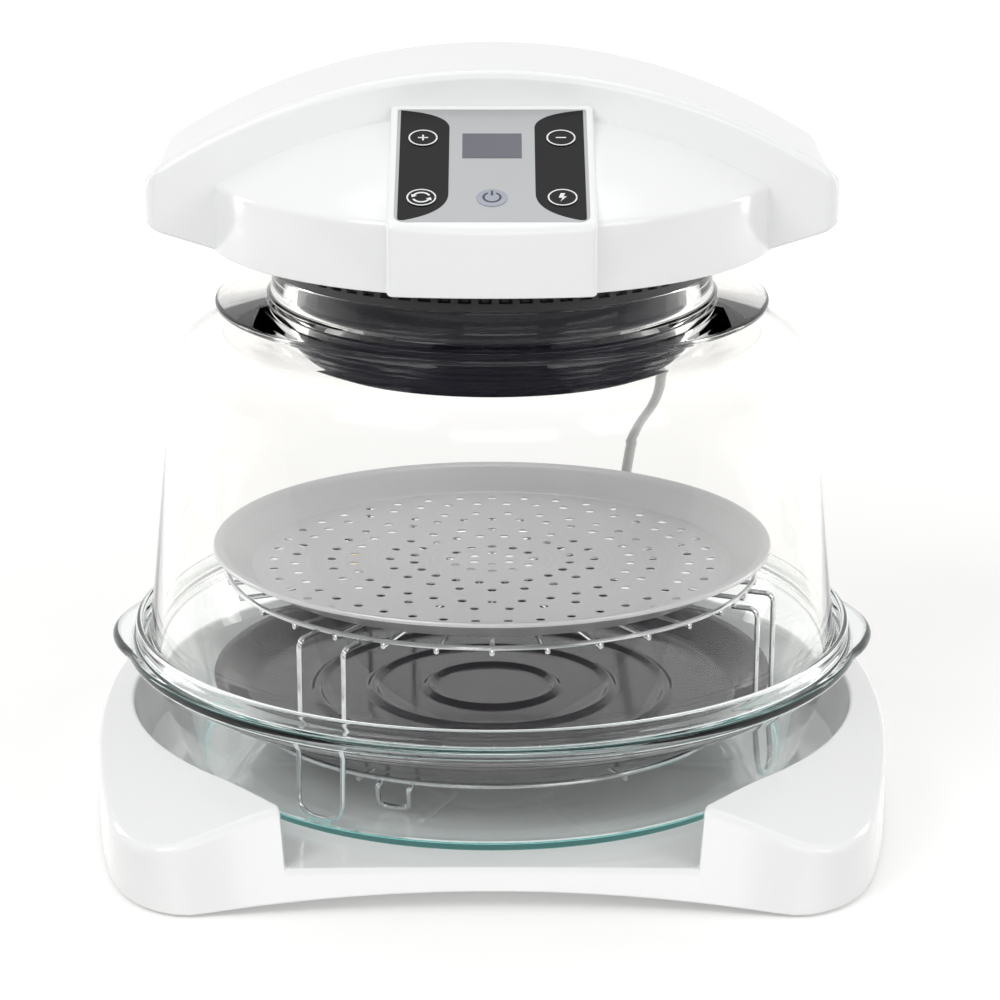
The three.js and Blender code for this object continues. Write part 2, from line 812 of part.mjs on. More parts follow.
const dome_path = new THREE.Path();
dome_path.moveTo(dome_foot_radius + dome_bead, dome_bottom);
dome_path.lineTo(dome_foot_radius + dome_bead, dome_bottom + dome_bead_height);
dome_path.lineTo(dome_foot_radius - dome_bead_height * dome_wall_lean_share, dome_bottom + dome_bead_height + dome_bead);
dome_path.lineTo(dome_shoulder_radius, dome_shoulder_height);
dome_path.quadraticCurveTo(dome_shoulder_radius - dome_wall / 2, dome_roof_height - dome_wall, dome_roof_radius, dome_roof_height);
dome_path.lineTo(neck_radius, dome_roof_height + dome_wall / 2);
dome_path.lineTo(neck_radius, grip_height);
dome_path.lineTo(grip_radius, grip_height);
dome_path.lineTo(grip_radius, grip_height + grip_thickness);
dome_path.lineTo(neck_radius, grip_height + grip_thickness);
dome_path.lineTo(neck_radius, collar_height);
dome_path.lineTo(collar_bore, collar_height);
dome_path.lineTo(collar_bore, dome_roof_height - dome_wall / 2);
dome_path.lineTo(dome_roof_radius - dome_wall / 2, dome_roof_height - dome_wall);
dome_path.quadraticCurveTo(dome_shoulder_radius - 3 * dome_wall / 2, dome_roof_height - 2 * dome_wall,
  dome_shoulder_radius - dome_wall, dome_shoulder_height);
dome_path.lineTo(dome_foot_radius - dome_wall, dome_bottom);
const dome_outline = dome_path.getPoints(curve_steps).map((point) => [point.x, point.y]);
piece('glass_dome', turnedRing(dome_outline, large_sides), clear_glass);

// Head cover

const band_end_drop = band_arch_radius - Math.sqrt(band_arch_radius ** 2 - band_half_length ** 2);

function bandSide(wall) {
  const half = band_half_length - wall;
  const radius = band_arch_radius - wall;
  const centre = band_peak - band_arch_radius;
  const top_angle = Math.asin(half / radius);
  const side = new THREE.Shape();
  const bottom = head_bottom - (wall > 0 ? overrun : 0);
  const tip_bottom = bottom + band_tip_rise;
  side.moveTo(-half, tip_bottom);
  side.lineTo(-half + band_tip_run, bottom);
  side.lineTo(half - band_tip_run, bottom);
  side.lineTo(half, tip_bottom);
  side.absarc(0, centre, radius, Math.PI / 2 - top_angle, Math.PI / 2 + top_angle, false);
  return side;
}

function bandPlan(wall) {
  const half_x = band_half_length - wall;
  const half_y = band_half_depth - wall;
  const corner = band_corner_radius;
  const plan = new THREE.Shape();
  plan.moveTo(-half_x + corner, -half_y);
  plan.lineTo(half_x - corner, -half_y);
  plan.quadraticCurveTo(half_x, -half_y, half_x, -half_y + corner);
  plan.lineTo(half_x, half_y - corner);
  plan.quadraticCurveTo(half_x, half_y, half_x - corner, half_y);
  plan.lineTo(-half_x + corner, half_y);
  plan.quadraticCurveTo(-half_x, half_y, -half_x, half_y - corner);
  plan.lineTo(-half_x, -half_y + corner);
  plan.quadraticCurveTo(-half_x, -half_y, -half_x + corner, -half_y);
  return plan;
}

function band(wall) {
  const low = head_bottom - 2 * overrun;
  return solid(across(bandSide(wall), -band_half_depth - overrun, band_half_depth + overrun))
    .intersect(solid(prism(bandPlan(wall), low, band_peak + overrun)));
}

function roundBody(wall) {
  const radius = body_radius - wall;
  const crown = body_crown_radius - wall;
  const skirt_top = head_bottom + body_skirt_height;
  const crown_centre = skirt_top - Math.sqrt(body_crown_radius ** 2 - body_radius ** 2);
  const start = Math.asin(radius / crown);
  const outline = [[0, head_bottom - (wall > 0 ? overrun : 0)]];
  outline.push([radius, head_bottom - (wall > 0 ? overrun : 0)]);
  for (let i = 0; i <= curve_steps; i++) {
    const angle = start * (1 - i / curve_steps);
    outline.push([crown * Math.sin(angle), crown_centre + crown * Math.cos(angle)]);
  }
  outline[outline.length - 1][0] = 0;
  return solid(turned(outline, large_sides));
}

const screw_turns = [0.125, 0.375, 0.625, 0.875].map((turn_share) => full_turn * turn_share);
const screw_bosses = joined(screw_turns.map((angle) => {
  const place = around(angle, screw_circle, 0);
  const low = lower_cover_top + clearance;
  return solid(drum(screw_boss_radius, low, band_peak, tiny_sides, place.x, place.y));
}));
const screw_holes = joined(screw_turns.map((angle) => {
  const place = around(angle, screw_circle, 0);
  const top = head_bottom + screw_length + clearance;
  return solid(drum(screw_shank_radius + clearance, head_bottom - overrun, top, tiny_sides, place.x, place.y));
}));
const cord_exit_angle = Math.PI / 2 - full_turn * cord_exit_turn_share;
const exit_hole = solid(new THREE.CylinderGeometry(
  relief_neck_radius + clearance, relief_neck_radius + clearance, 2 * relief_collar_radius, small_sides)
  .rotateZ(Math.PI / 2).translate(body_radius, 0, 0).rotateZ(cord_exit_angle).translate(0, 0, cord_exit_height));
const console_pocket = solid(block(
  [-console_half_width - clearance, -console_front - 2 * overrun, head_bottom - overrun],
  [console_half_width + clearance, -band_half_depth, band_peak]));
const cover_outside = band(0).add(roundBody(0));
const cover_inside = band(head_wall).add(roundBody(head_wall));
const cover_solid = cover_outside.subtract(cover_inside)
  .add(screw_bosses.intersect(cover_outside))
  .subtract(console_pocket)
  .subtract(screw_holes)
  .subtract(exit_hole);
piece('head_cover', geometryOf(cover_solid), white_plastic);

// Lower cover

const cover_fit = head_wall + clearance;
const wing_slope = band_tip_rise / band_tip_run;
const wing_end = band_half_length - cover_fit;
const wing_start = band_half_length - band_tip_run;
const wing_end_z = head_bottom + (wing_end - wing_start) * wing_slope;
const wing_floor = polygon([
  [-wing_end, wing_end_z],
  [-wing_start, head_bottom],
  [wing_start, head_bottom],
  [wing_end, wing_end_z],
  [wing_end, wing_end_z + cover_sheet],
  [wing_start, lower_cover_top],
  [-wing_start, lower_cover_top],
  [-wing_end, wing_end_z + cover_sheet],
]);
const wing_half_depth = band_half_depth - cover_fit;
const console_inner_x = console_half_width - console_wall - clearance;
const console_inner_y = console_front - console_bow - console_wall - clearance;
const console_floor = solid(block(
  [-console_inner_x, -console_inner_y, head_bottom], [console_inner_x, -wing_half_depth, lower_cover_top]));
const console_clearway = solid(block(
  [-console_half_width - clearance, -console_front, head_bottom - overrun],
  [console_half_width + clearance, -band_half_depth, lower_cover_top + overrun]));
const lower_cover_solid = solid(across(wing_floor, -wing_half_depth, wing_half_depth))
  .intersect(solid(prism(bandPlan(cover_fit), head_bottom - overrun, band_peak)))
  .add(solid(drum(body_radius - cover_fit, head_bottom, lower_cover_top, large_sides)))
  .subtract(console_clearway)
  .add(console_floor)
  .subtract(solid(drum(cover_opening_radius, head_bottom - overrun, lower_cover_top + overrun, medium_sides)))
  .subtract(screw_holes);
piece('head_lower_cover', geometryOf(lower_cover_solid), white_plastic);

const screw_outline = [
  [0, -clearance - screw_head_height],
  [screw_head_radius, -clearance - screw_head_height],
  [screw_head_radius, -clearance],
  [screw_shank_radius, -clearance],
  [screw_shank_radius, screw_length],
  [0, screw_length],
];
screw_turns.forEach((angle, i) => {
  const place = around(angle, screw_circle, head_bottom);
  piece(`head_screw_${i + 1}`, turned(screw_outline, tiny_sides).translate(...place), bright_steel);
});

// Console and its panel

const panel_slope = Math.atan2(panel_rise, panel_run);
const panel_length = Math.hypot(panel_rise, panel_run);

function consoleSide(wall) {
  const low = head_bottom - (wall > 0 ? overrun : 0);
  const fall = panel_rise / panel_run;
  const front = -console_front - overrun;
  const back = -band_half_depth - clearance + (wall > 0 ? overrun : 0);
  const height = (y) => panel_low_z + (y + panel_low_y) * fall - wall / Math.cos(panel_slope);
  return polygon([[front, low], [back, low], [back, height(back)], [front, height(front)]]);
}

function consoleBody(wall) {
  const half = console_half_width - wall;
  const front = console_front - wall;
  const plan = new THREE.Shape();
  plan.moveTo(-half, 0);
  plan.lineTo(-half, -front + console_bow);
  plan.quadraticCurveTo(0, -front - console_bow, half, -front + console_bow);
  plan.lineTo(half, 0);
  const options = { depth: 2 * half, bevelEnabled: false };
  const side = new THREE.ExtrudeGeometry(consoleSide(wall), options);
  side.translate(0, 0, -half).rotateX(Math.PI / 2).rotateZ(Math.PI / 2);
  return solid(prism(plan, head_bottom - 2 * overrun, band_peak)).intersect(solid(side));
}

// The panel's own frame: X to the right, Y up the slope, Z out of the face, centred on the panel
const panel_centre = vector(0, -panel_low_y + panel_run / 2, panel_low_z + panel_rise / 2);
const panel = new THREE.Group();
panel.position.copy(panel_centre);
panel.rotation.x = panel_slope;
oven.add(panel);

function onConsole(geometry) {
  return solid(geometry.clone().rotateX(panel_slope).translate(...panel_centre));
}

function panelPlan(inset) {
  const half_x = panel_width / 2 - inset;
  const half_y = panel_length / 2 - inset;
  const plan = new THREE.Shape();
  plan.moveTo(-half_x + panel_corner, -half_y);
  plan.lineTo(half_x - panel_corner, -half_y);
  plan.quadraticCurveTo(half_x, -half_y, half_x, -half_y + panel_corner);
  plan.lineTo(half_x, half_y);
  plan.lineTo(-half_x, half_y);
  plan.lineTo(-half_x, -half_y + panel_corner);
  plan.quadraticCurveTo(-half_x, -half_y, -half_x + panel_corner, -half_y);
  return plan;
}

const board_half_x = panel_width / 2 - panel_ledge;
const board_half_y = panel_length / 2 - panel_ledge;
const recess_floor = -panel_thickness;
const console_recess = onConsole(prism(panelPlan(-clearance), recess_floor, overrun));
const console_opening = onConsole(prism(panelPlan(panel_ledge), -board_drop, overrun));
const board_top = -board_drop;
const post_x = panel_width / 2 - panel_ledge / 2;
const post_y = panel_length / 2 - 3 * panel_ledge;
const board_tab = panel_ledge;
const board_posts = joined([[-1, -1], [-1, 1], [1, -1], [1, 1]].map(([sx, sy]) =>
  onConsole(drum(board_post_radius, board_top + clearance, -console_wall / 2, tiny_sides, sx * post_x, sy * post_y))));
const console_solid = consoleBody(0).subtract(consoleBody(console_wall))
  .add(board_posts)
  .subtract(console_recess)
  .subtract(console_opening);
piece('console_housing', geometryOf(console_solid), white_plastic);

const key_places = [
  ['key_plus', -side_key_x, panel_length / 2 - upper_key_from_top],
  ['key_minus', side_key_x, panel_length / 2 - upper_key_from_top],
  ['key_mode', -side_key_x, lower_key_from_bottom - panel_length / 2],
  ['key_turbo', side_key_x, lower_key_from_bottom - panel_length / 2],
  ['key_start', 0, lower_key_from_bottom - panel_length / 2],
];
const panel_bottom = recess_floor + clearance;
const panel_top = panel_bottom + panel_thickness;
const window_y = panel_length / 2 - window_from_top;
const window_half_x = window_width / 2;
const window_half_y = window_height / 2;
const window_hole = solid(block(
  [-window_half_x - clearance, window_y - window_half_y - clearance, panel_bottom - overrun],
  [window_half_x + clearance, window_y + window_half_y + clearance, panel_top + overrun]));
const key_holes = joined(key_places.map(([, x, y]) =>
  solid(drum(key_radius + clearance, panel_bottom - overrun, panel_top + overrun, small_sides, x, y))));
const overlay = solid(prism(panelPlan(0), panel_bottom, panel_top)).subtract(window_hole).subtract(key_holes);
piece('control_overlay', geometryOf(overlay), silver_film, panel);

const window_pane = block(
  [-window_half_x, window_y - window_half_y, panel_bottom],
  [window_half_x, window_y + window_half_y, panel_top]);
piece('display_window', window_pane, lcd_glass, panel);
const display_body = block(
  [-window_half_x, window_y - window_half_y, board_top + clearance],
  [window_half_x, window_y + window_half_y, panel_bottom - clearance]);
piece('display_module', display_body, black_plastic, panel);

const key_top = panel_top + key_proud;
const key_foot = board_top + key_travel + clearance;
const key_outline = [
  [0, key_foot],
  [key_stem_radius, key_foot],
  [key_stem_radius, key_top - key_thickness],
  [key_radius, key_top - key_thickness],
  [key_radius, key_top],
  [0, key_top],
];
for (const [name, x, y] of key_places) {
  piece(name, turned(key_outline, small_sides).translate(x, y, 0), black_plastic, panel);
}

const board_bottom = board_top - board_thickness;
const board_core = solid(block([-board_half_x, -board_half_y, board_bottom], [board_half_x, board_half_y, board_top]));
const board_tabs = solid(block(
  [-post_x - board_tab / 2, post_y - board_tab, board_bottom], [post_x + board_tab / 2, post_y + board_tab, board_top]));
const board_low_tabs = solid(block(
  [-post_x - board_tab / 2, -post_y - board_tab, board_bottom], [post_x + board_tab / 2, -post_y + board_tab, board_top]));
piece('control_board', geometryOf(joined([board_core, board_tabs, board_low_tabs])), board_green, panel);
const buzzer_top = board_bottom - clearance;
piece('buzzer', drum(buzzer_radius, buzzer_top - buzzer_height, buzzer_top, small_sides, 0, 0), black_plastic, panel);

// Vent ring under the head

const ring_inner = vent_ring_radius - vent_ring_wall;
const ring_flange = housing_radius - housing_sheet - clearance;
const vent_outline = [
  [ring_inner, ring_bottom],
  [vent_ring_radius, ring_bottom],
  [vent_ring_radius, ring_top],
  [ring_flange, ring_top],
  [ring_flange, ring_top - vent_ring_flange],
  [ring_inner, ring_top - vent_ring_flange],
];
const slot_middle = (ring_top + ring_bottom) / 2 - clearance;
const slots = [];
for (let i = 0; i < vent_slots; i++) {
  const slot = block(
    [ring_inner + vent_ring_wall / 2, -vent_slot_width / 2, slot_middle - vent_slot_height / 2],
    [vent_ring_radius + overrun, vent_slot_width / 2, slot_middle + vent_slot_height / 2]);
  slots.push(solid(slot.rotateZ(full_turn * (i + 1 / 2) / vent_slots)));
}
const vent_solid = solid(turnedRing(vent_outline, vent_slots)).subtract(joined(slots));
piece('vent_ring', geometryOf(vent_solid), black_plastic);

// Heater housing, guard, reflector and insulation

const housing_top = ring_top - vent_ring_flange - clearance;
const housing_inner = housing_radius - housing_sheet;
const housing_outline = [
  [housing_radius - housing_lip, housing_bottom],
  [housing_radius, housing_bottom],
  [housing_radius, housing_top],
  [housing_inner, housing_top],
  [housing_inner, housing_bottom + housing_sheet],
  [housing_radius - housing_lip, housing_bottom + housing_sheet],
];
piece('heater_housing', turnedRing(housing_outline, large_sides), dark_steel);

const guard_radius = housing_inner - clearance;
const guard_cuts = [];
for (let i = 0; i < guard_slots; i++) {
  const cut = block(
    [guard_slot_start, -guard_slot_width / 2, guard_bottom - overrun],
    [guard_radius - guard_slot_margin, guard_slot_width / 2, guard_bottom + guard_sheet + overrun]);
  guard_cuts.push(solid(cut.rotateZ(full_turn * i / guard_slots)));
}
const guard_disc = solid(drum(guard_radius, guard_bottom, guard_bottom + guard_sheet, medium_sides));
piece('fan_guard', geometryOf(guard_disc.subtract(joined(guard_cuts))), bright_steel);

const shaft_bore = shaft_radius + clearance;
const reflector_outline = [
  [shaft_bore + overrun, reflector_top - reflector_sheet],
  [guard_radius - reflector_sheet, reflector_top - reflector_sheet],
  [guard_radius - reflector_sheet, reflector_top - reflector_skirt],
  [guard_radius, reflector_top - reflector_skirt],
  [guard_radius, reflector_top],
  [shaft_bore + overrun, reflector_top],
];
piece('reflector', turnedRing(reflector_outline, medium_sides), bright_steel);

const wool_radius = ring_flange - clearance;
const wool_outline = [
  [shaft_bore + overrun, wool_bottom],
  [wool_radius, wool_bottom],
  [wool_radius, wool_top],
  [shaft_bore + overrun, wool_top],
];
piece('insulation_disc', turnedRing(wool_outline, medium_sides), wool_board);

// Halogen lamp: a nearly closed ring whose ends turn up into two ceramic holders

const holder_top = reflector_top - reflector_sheet - clearance;
const holder_bottom = holder_top - holder_height;
const lamp_z = holder_top - lamp_drop;
const lamp_open = full_turn * lamp_opening_share;
const lamp_start = Math.PI / 2 + lamp_open / 2;
const lamp_end = full_turn + Math.PI / 2 - lamp_open / 2;
const lamp_bend_angle = lamp_bend / lamp_ring_radius;

// Points of one lamp end, from its top down to the ring, turning towards the given side
function lampEnd(angle, side) {
  const top = around(angle, lamp_ring_radius, holder_bottom - clearance);
  const bend = new THREE.QuadraticBezierCurve3(
    around(angle, lamp_ring_radius, lamp_z + lamp_bend),
    around(angle, lamp_ring_radius, lamp_z),
    around(angle + side * lamp_bend_angle, lamp_ring_radius, lamp_z));
  return [top, ...bend.getPoints(bend_steps)];
}
const lamp_points = lampEnd(lamp_start, 1);
const lamp_arc = lamp_end - lamp_start - 2 * lamp_bend_angle;
for (let i = 1; i < lamp_steps; i++) {
  const angle = lamp_start + lamp_bend_angle + lamp_arc * i / lamp_steps;
  lamp_points.push(around(angle, lamp_ring_radius, lamp_z));
}
lamp_points.push(...lampEnd(lamp_end, -1).reverse());
const lamp = tube(new BentPath(lamp_points), lamp_tube_radius, cord_sides, lamp_points.length - 1);
piece('halogen_tube', lamp, quartz);
[['lamp_holder_left', lamp_start], ['lamp_holder_right', lamp_end]].forEach(([name, angle]) => {
  const half = holder_size / 2;
  const holder = block([-half, -half, holder_bottom], [half, half, holder_top]).rotateZ(angle);
  piece(name, holder.translate(...around(angle, lamp_ring_radius, 0)), ceramic_white);
});

const probe = drum(probe_radius, holder_top - probe_length, holder_top, tiny_sides, 0, -probe_reach);
piece('thermostat_probe', probe, bright_steel);

// Motor on its deck

const deck_outline = [
  [shaft_bore + overrun, deck_bottom],
  [deck_radius, deck_bottom],
  [deck_radius, deck_top],
  [shaft_bore + overrun, deck_top],
];
piece('motor_deck', turnedRing(deck_outline, medium_sides), bright_steel);

function bored(body, radius, x = 0, y = 0) {
  const reach = band_peak + overrun;
  return body.subtract(solid(drum(radius, -reach, reach, small_sides, x, y)));
}

const bracket_plate = solid(block(
  [-bracket_half_length - bracket_leg_radius, -bracket_half_width, motor_bottom],
  [bracket_half_length + bracket_leg_radius, bracket_half_width, bracket_top]));
const leg_y = bracket_half_width - bracket_leg_radius;
const bracket_legs = [[-1, -1], [-1, 1], [1, -1], [1, 1]].map(([sx, sy]) => solid(drum(
  bracket_leg_radius, deck_top + clearance, bracket_top, tiny_sides, sx * bracket_half_length, sy * leg_y)));
piece('motor_bracket', geometryOf(bored(joined([bracket_plate, ...bracket_legs]), shaft_bore)), bright_steel);

const stator_block = solid(block(
  [-stator_half_width, -stator_half_depth, stator_bottom], [stator_half_width, stator_half_depth, stator_top]));
piece('motor_stator', geometryOf(bored(stator_block, rotor_radius + air_gap)), dark_steel);
const coil_y0 = stator_half_depth + clearance;
piece('motor_coil', block(
  [-coil_half_width, coil_y0, stator_bottom], [coil_half_width, coil_y0 + coil_depth, stator_top]), copper_wire);

const bridge_outer = block(
  [-bridge_half_length, -bracket_half_width, bridge_foot],
  [bridge_half_length, bracket_half_width, bridge_foot + bridge_rise + bracket_sheet]);
const bridge_inner = block(
  [-bridge_half_length + bracket_sheet, -bracket_half_width - overrun, bridge_foot - overrun],
  [bridge_half_length - bracket_sheet, bracket_half_width + overrun, bridge_foot + bridge_rise]);
const bridge = solid(bridge_outer).subtract(solid(bridge_inner));
piece('bearing_bridge', geometryOf(bored(bridge, shaft_bore)), bright_steel);

// Everything that turns

piece('motor_shaft', drum(shaft_radius, shaft_bottom, shaft_top, small_sides), bright_steel);

const rotor_outline = [
  [shaft_bore, stator_bottom + air_gap],
  [rotor_radius, stator_bottom + air_gap],
  [rotor_radius, stator_top - air_gap],
  [shaft_bore, stator_top - air_gap],
];
piece('motor_rotor', turnedRing(rotor_outline, small_sides), dark_steel);

// A hub and a thin disc with upright blades on it.
function bladedFan(radius, bottom, blade_height, blades) {
  const disc_bottom = bottom + blade_height;
  const parts = [
    solid(drum(fan_hub_radius, bottom, disc_bottom + 2 * fan_blade_sheet, small_sides)),
    solid(drum(radius, disc_bottom, disc_bottom + fan_blade_sheet, medium_sides)),
  ];
  for (let i = 0; i < blades; i++) {
    const blade = block(
      [fan_hub_radius, -fan_blade_sheet / 2, bottom],
      [radius - fan_blade_sheet, fan_blade_sheet / 2, disc_bottom + fan_blade_sheet / 2]);
    parts.push(solid(blade.rotateZ(full_turn * i / blades)));
  }
  return bored(joined(parts), shaft_bore);
}
piece('convection_fan', geometryOf(bladedFan(fan_radius, fan_bottom, fan_blade_height, fan_blades)), bright_steel);
piece('cooling_fan', geometryOf(bladedFan(cooler_radius, cooler_bottom, cooler_blade_height, fan_blades)), black_plastic);

piece('fan_nut', geometryOf(bored(solid(drum(nut_radius, nut_top - nut_height, nut_top, nut_sides)), shaft_bore)), bright_steel);

// Wiring parts

const cord_way = vector(Math.cos(cord_exit_angle), Math.sin(cord_exit_angle), 0);
const terminal_place = cord_way.clone().multiplyScalar(vent_ring_radius - terminal_depth);
const wiring_floor = lower_cover_top + clearance;
const terminal = block(
  [-terminal_depth / 2, -terminal_length / 2, wiring_floor],
  [terminal_depth / 2, terminal_length / 2, wiring_floor + terminal_height]);
piece('terminal_block', terminal.rotateZ(cord_exit_angle).translate(...terminal_place), ceramic_white);
const fuse_x = -(deck_radius + clearance + fuse_length);
piece('thermal_fuse', block(
  [fuse_x, -fuse_depth / 2, wiring_floor],
  [fuse_x + fuse_length, fuse_depth / 2, wiring_floor + fuse_height]), ceramic_white);

// Strain relief: drawn along Z from the wall, then laid on the cord's way
const skirt_flat_radius = body_radius * Math.cos(Math.PI / large_sides);
const inner_face = -head_wall - clearance;
const relief_outline = [
  [0, inner_face - relief_collar_length],
  [relief_collar_radius, inner_face - relief_collar_length],
  [relief_collar_radius, inner_face],
  [relief_neck_radius, inner_face],
  [relief_neck_radius, clearance],
  [relief_collar_radius, clearance],
  [relief_collar_radius, relief_collar_length],
  [relief_neck_radius + clearance, relief_collar_length + clearance],
  [relief_tip_radius, relief_length],
  [0, relief_length],
];
const relief_start = cord_way.clone().multiplyScalar(skirt_flat_radius).setZ(cord_exit_height);
const relief = turned(relief_outline, small_sides).rotateY(Math.PI / 2).rotateZ(cord_exit_angle);
piece('strain_relief', relief.translate(...relief_start), cord_grey);

// Cord from the strain relief to the coil: points chosen by hand
const relief_tip = skirt_flat_radius + relief_length + clearance;
const cord_start = cord_way.clone().multiplyScalar(relief_tip).setZ(cord_exit_height);
const cord_straight = cord_way.clone().multiplyScalar(relief_tip + 3 * cord_radius).setZ(cord_exit_height);
const coil_start = vector(coil_x + coil_outer_radius, coil_y - 2 * cord_radius - clearance, coil_lift);
const cord_points = [
  cord_start,
  cord_straight,
  vector(88.5, 192, 320.5),
  vector(93.5, 202, 308),
  vector(98, 208, 286),
  vector(101, 210, 255),
  vector(102, 210, 215),
  vector(98, 209, 178),
  vector(88.5, 208, 150),
  vector(83, 208, 122),
  vector(80, 209, 88),
  vector(76, 211, 56),
  vector(70, 217, 29),
  vector(59, 229, 11),
  vector(47, 245, 4.6),
  vector(37.5, 264, 4),
  vector(coil_start.x, coil_start.y - 6 * cord_radius, coil_lift),
  vector(coil_start.x, coil_start.y - 3 * cord_radius, coil_lift),
  coil_start,
];
const cord_curve = new THREE.CatmullRomCurve3(cord_points, false, 'centripetal');
piece('cord_free', tube(cord_curve, cord_radius, cord_sides, cord_steps), cord_grey);

// Coil: spirals in on the floor layer, climbs, and spirals out on top. Both ends run on straight.
const coil_lead = 2 * cord_radius;
const coil_lead_turns = coil_lead / (full_turn * coil_outer_radius);
class CoilCurve extends THREE.Curve {
  getPoint(t) {
    const turn = t * (coil_turns + 2 * coil_lead_turns) - coil_lead_turns;
    const wound = THREE.MathUtils.clamp(turn, 0, coil_turns);
    const middle = coil_turns / 2;
    const radius = coil_outer_radius - coil_pitch * (middle - Math.abs(wound - middle));
    const climb = THREE.MathUtils.smoothstep(wound, middle - 1 / 4, middle + 1 / 4);
    const angle = full_turn * wound;
    const onward = (turn - wound) * full_turn * coil_outer_radius;
    return vector(
      coil_x + radius * Math.cos(angle) - onward * Math.sin(angle),
      coil_y + radius * Math.sin(angle) + onward * Math.cos(angle),
      coil_lift + coil_pitch * climb);
  }
}
const coil_curve = new CoilCurve();
const coil_steps = Math.round((coil_turns + 2 * coil_lead_turns) * coil_loop_steps);
piece('cord_coil', tube(coil_curve, cord_radius, coil_sides, coil_steps), cord_grey);

// The least gap between one turn and another, printed as a check on the coil
function leastGap(curve, turns, per_turn) {
  const points = curve.getSpacedPoints(turns * per_turn);
  let least = Infinity;
  for (let i = 0; i < points.length; i++) {
    for (let j = i + Math.round(per_turn / 2); j < points.length; j++) {
      least = Math.min(least, points[i].distanceTo(points[j]));
    }
  }
  return least - 2 * cord_radius;
}
console.log(`coil: least gap to itself ${leastGap(coil_curve, coil_turns, 4 * coil_loop_steps).toFixed(2)} mm`);
const cord_length = cord_curve.getLength() + coil_curve.getLength() + tail_length;
console.log(`cord: ${cord_length.toFixed(0)} mm from the strain relief to the plug`);

// Tie round the bundle
const coil_inner_radius = coil_outer_radius - coil_pitch * coil_turns / 2;
const tie_in = coil_inner_radius - cord_radius - clearance;
const tie_out = coil_outer_radius + cord_radius + clearance;
const tie_low = coil_lift - cord_radius - clearance;
const tie_high = coil_lift + coil_pitch + cord_radius + clearance;
const tie_half = tie_width / 2;
const tie_outer = block(
  [tie_in - tie_sheet, -tie_half, tie_low - tie_sheet], [tie_out + tie_sheet, tie_half, tie_high + tie_sheet]);
const tie_inner = block([tie_in, -tie_half - overrun, tie_low], [tie_out, tie_half + overrun, tie_high]);
const tie_loop = geometryOf(solid(tie_outer).subtract(solid(tie_inner)));
piece('cord_tie', tie_loop.rotateZ(full_turn * tie_turn_share).translate(coil_x, coil_y, 0), black_plastic);

// Tail of the cord from the coil to the plug, rising to the plug's middle
const coil_end = coil_curve.getPoint(1);
const coil_way = coil_curve.getTangent(1).setZ(0).normalize();
const tail_start = coil_end.clone().addScaledVector(coil_way, clearance);
const tail_end = tail_start.clone().addScaledVector(coil_way, tail_length).setZ(plug_radius + clearance);
const tail_curve = new THREE.CubicBezierCurve3(
  tail_start,
  tail_start.clone().addScaledVector(coil_way, tail_length / 2),
  tail_end.clone().addScaledVector(coil_way, -tail_length / 2),
  tail_end);
piece('cord_tail', tube(tail_curve, cord_radius, cord_sides, tail_steps), cord_grey);

// Plug: drawn along Z from the cord's end, then laid on the worktop
const plug_outline = [
  [0, 0],
  [plug_grip_radius, 0],
  [plug_grip_radius * 2, plug_body_length / 2],
  [plug_radius, plug_body_length - plug_face_length],
  [plug_radius, plug_body_length],
  [0, plug_body_length],
];
const plug_turn = Math.atan2(coil_way.y, coil_way.x);
const plug_start = tail_end.clone().addScaledVector(coil_way, clearance);
function layPlug(geometry) {
  return geometry.rotateY(Math.PI / 2).rotateZ(plug_turn).translate(...plug_start);
}
piece('plug_body', layPlug(turned(plug_outline, small_sides)), cord_grey);
const pin_start = plug_body_length + clearance;
[['plug_pin_left', 1], ['plug_pin_right', -1]].forEach(([name, side]) => {
  const pin = drum(pin_radius, pin_start, pin_start + pin_length, tiny_sides, 0, side * pin_spacing / 2);
  piece(name, layPlug(pin), brass_pin);
});

export default oven;
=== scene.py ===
# Looks of a countertop halogen oven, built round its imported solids.
# Sizes are in millimetres in the frame of the solids: Z up, front towards -Y, origin on the worktop.
import json
from math import asin, cos, hypot, pi, radians, sin, sqrt

import bmesh
import bpy
import numpy as np
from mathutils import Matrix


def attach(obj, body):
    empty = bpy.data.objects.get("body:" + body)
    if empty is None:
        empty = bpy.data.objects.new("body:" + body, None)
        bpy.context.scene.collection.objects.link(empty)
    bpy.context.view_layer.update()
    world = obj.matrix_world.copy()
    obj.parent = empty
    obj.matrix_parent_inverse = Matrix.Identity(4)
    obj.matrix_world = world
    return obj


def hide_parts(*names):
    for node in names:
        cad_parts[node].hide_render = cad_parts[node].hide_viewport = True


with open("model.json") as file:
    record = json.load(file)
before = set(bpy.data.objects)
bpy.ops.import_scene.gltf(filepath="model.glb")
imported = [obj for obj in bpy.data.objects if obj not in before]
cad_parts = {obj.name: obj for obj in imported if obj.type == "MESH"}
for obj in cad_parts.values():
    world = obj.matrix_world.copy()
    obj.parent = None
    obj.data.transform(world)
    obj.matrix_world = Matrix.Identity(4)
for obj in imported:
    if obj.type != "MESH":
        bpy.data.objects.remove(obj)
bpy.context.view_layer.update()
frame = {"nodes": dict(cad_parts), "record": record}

scene = bpy.context.scene
scene.view_settings.view_transform = "Standard"

# Camera: a long lens straight in front of the oven, looking down on it a little.
# The oven's axis stands slightly left of the middle of the picture.
camera_data = bpy.data.cameras.new("camera")
camera_data.lens = 126.5
camera_data.sensor_width = 36
camera_data.shift_x = 0.008
camera = bpy.data.objects.new("camera", camera_data)
camera_tilt = 16.52
camera.location = (0, -1.841, 0.7075)
camera.rotation_euler = (radians(90 - camera_tilt), 0, 0)
scene.collection.objects.link(camera)
scene.camera = camera


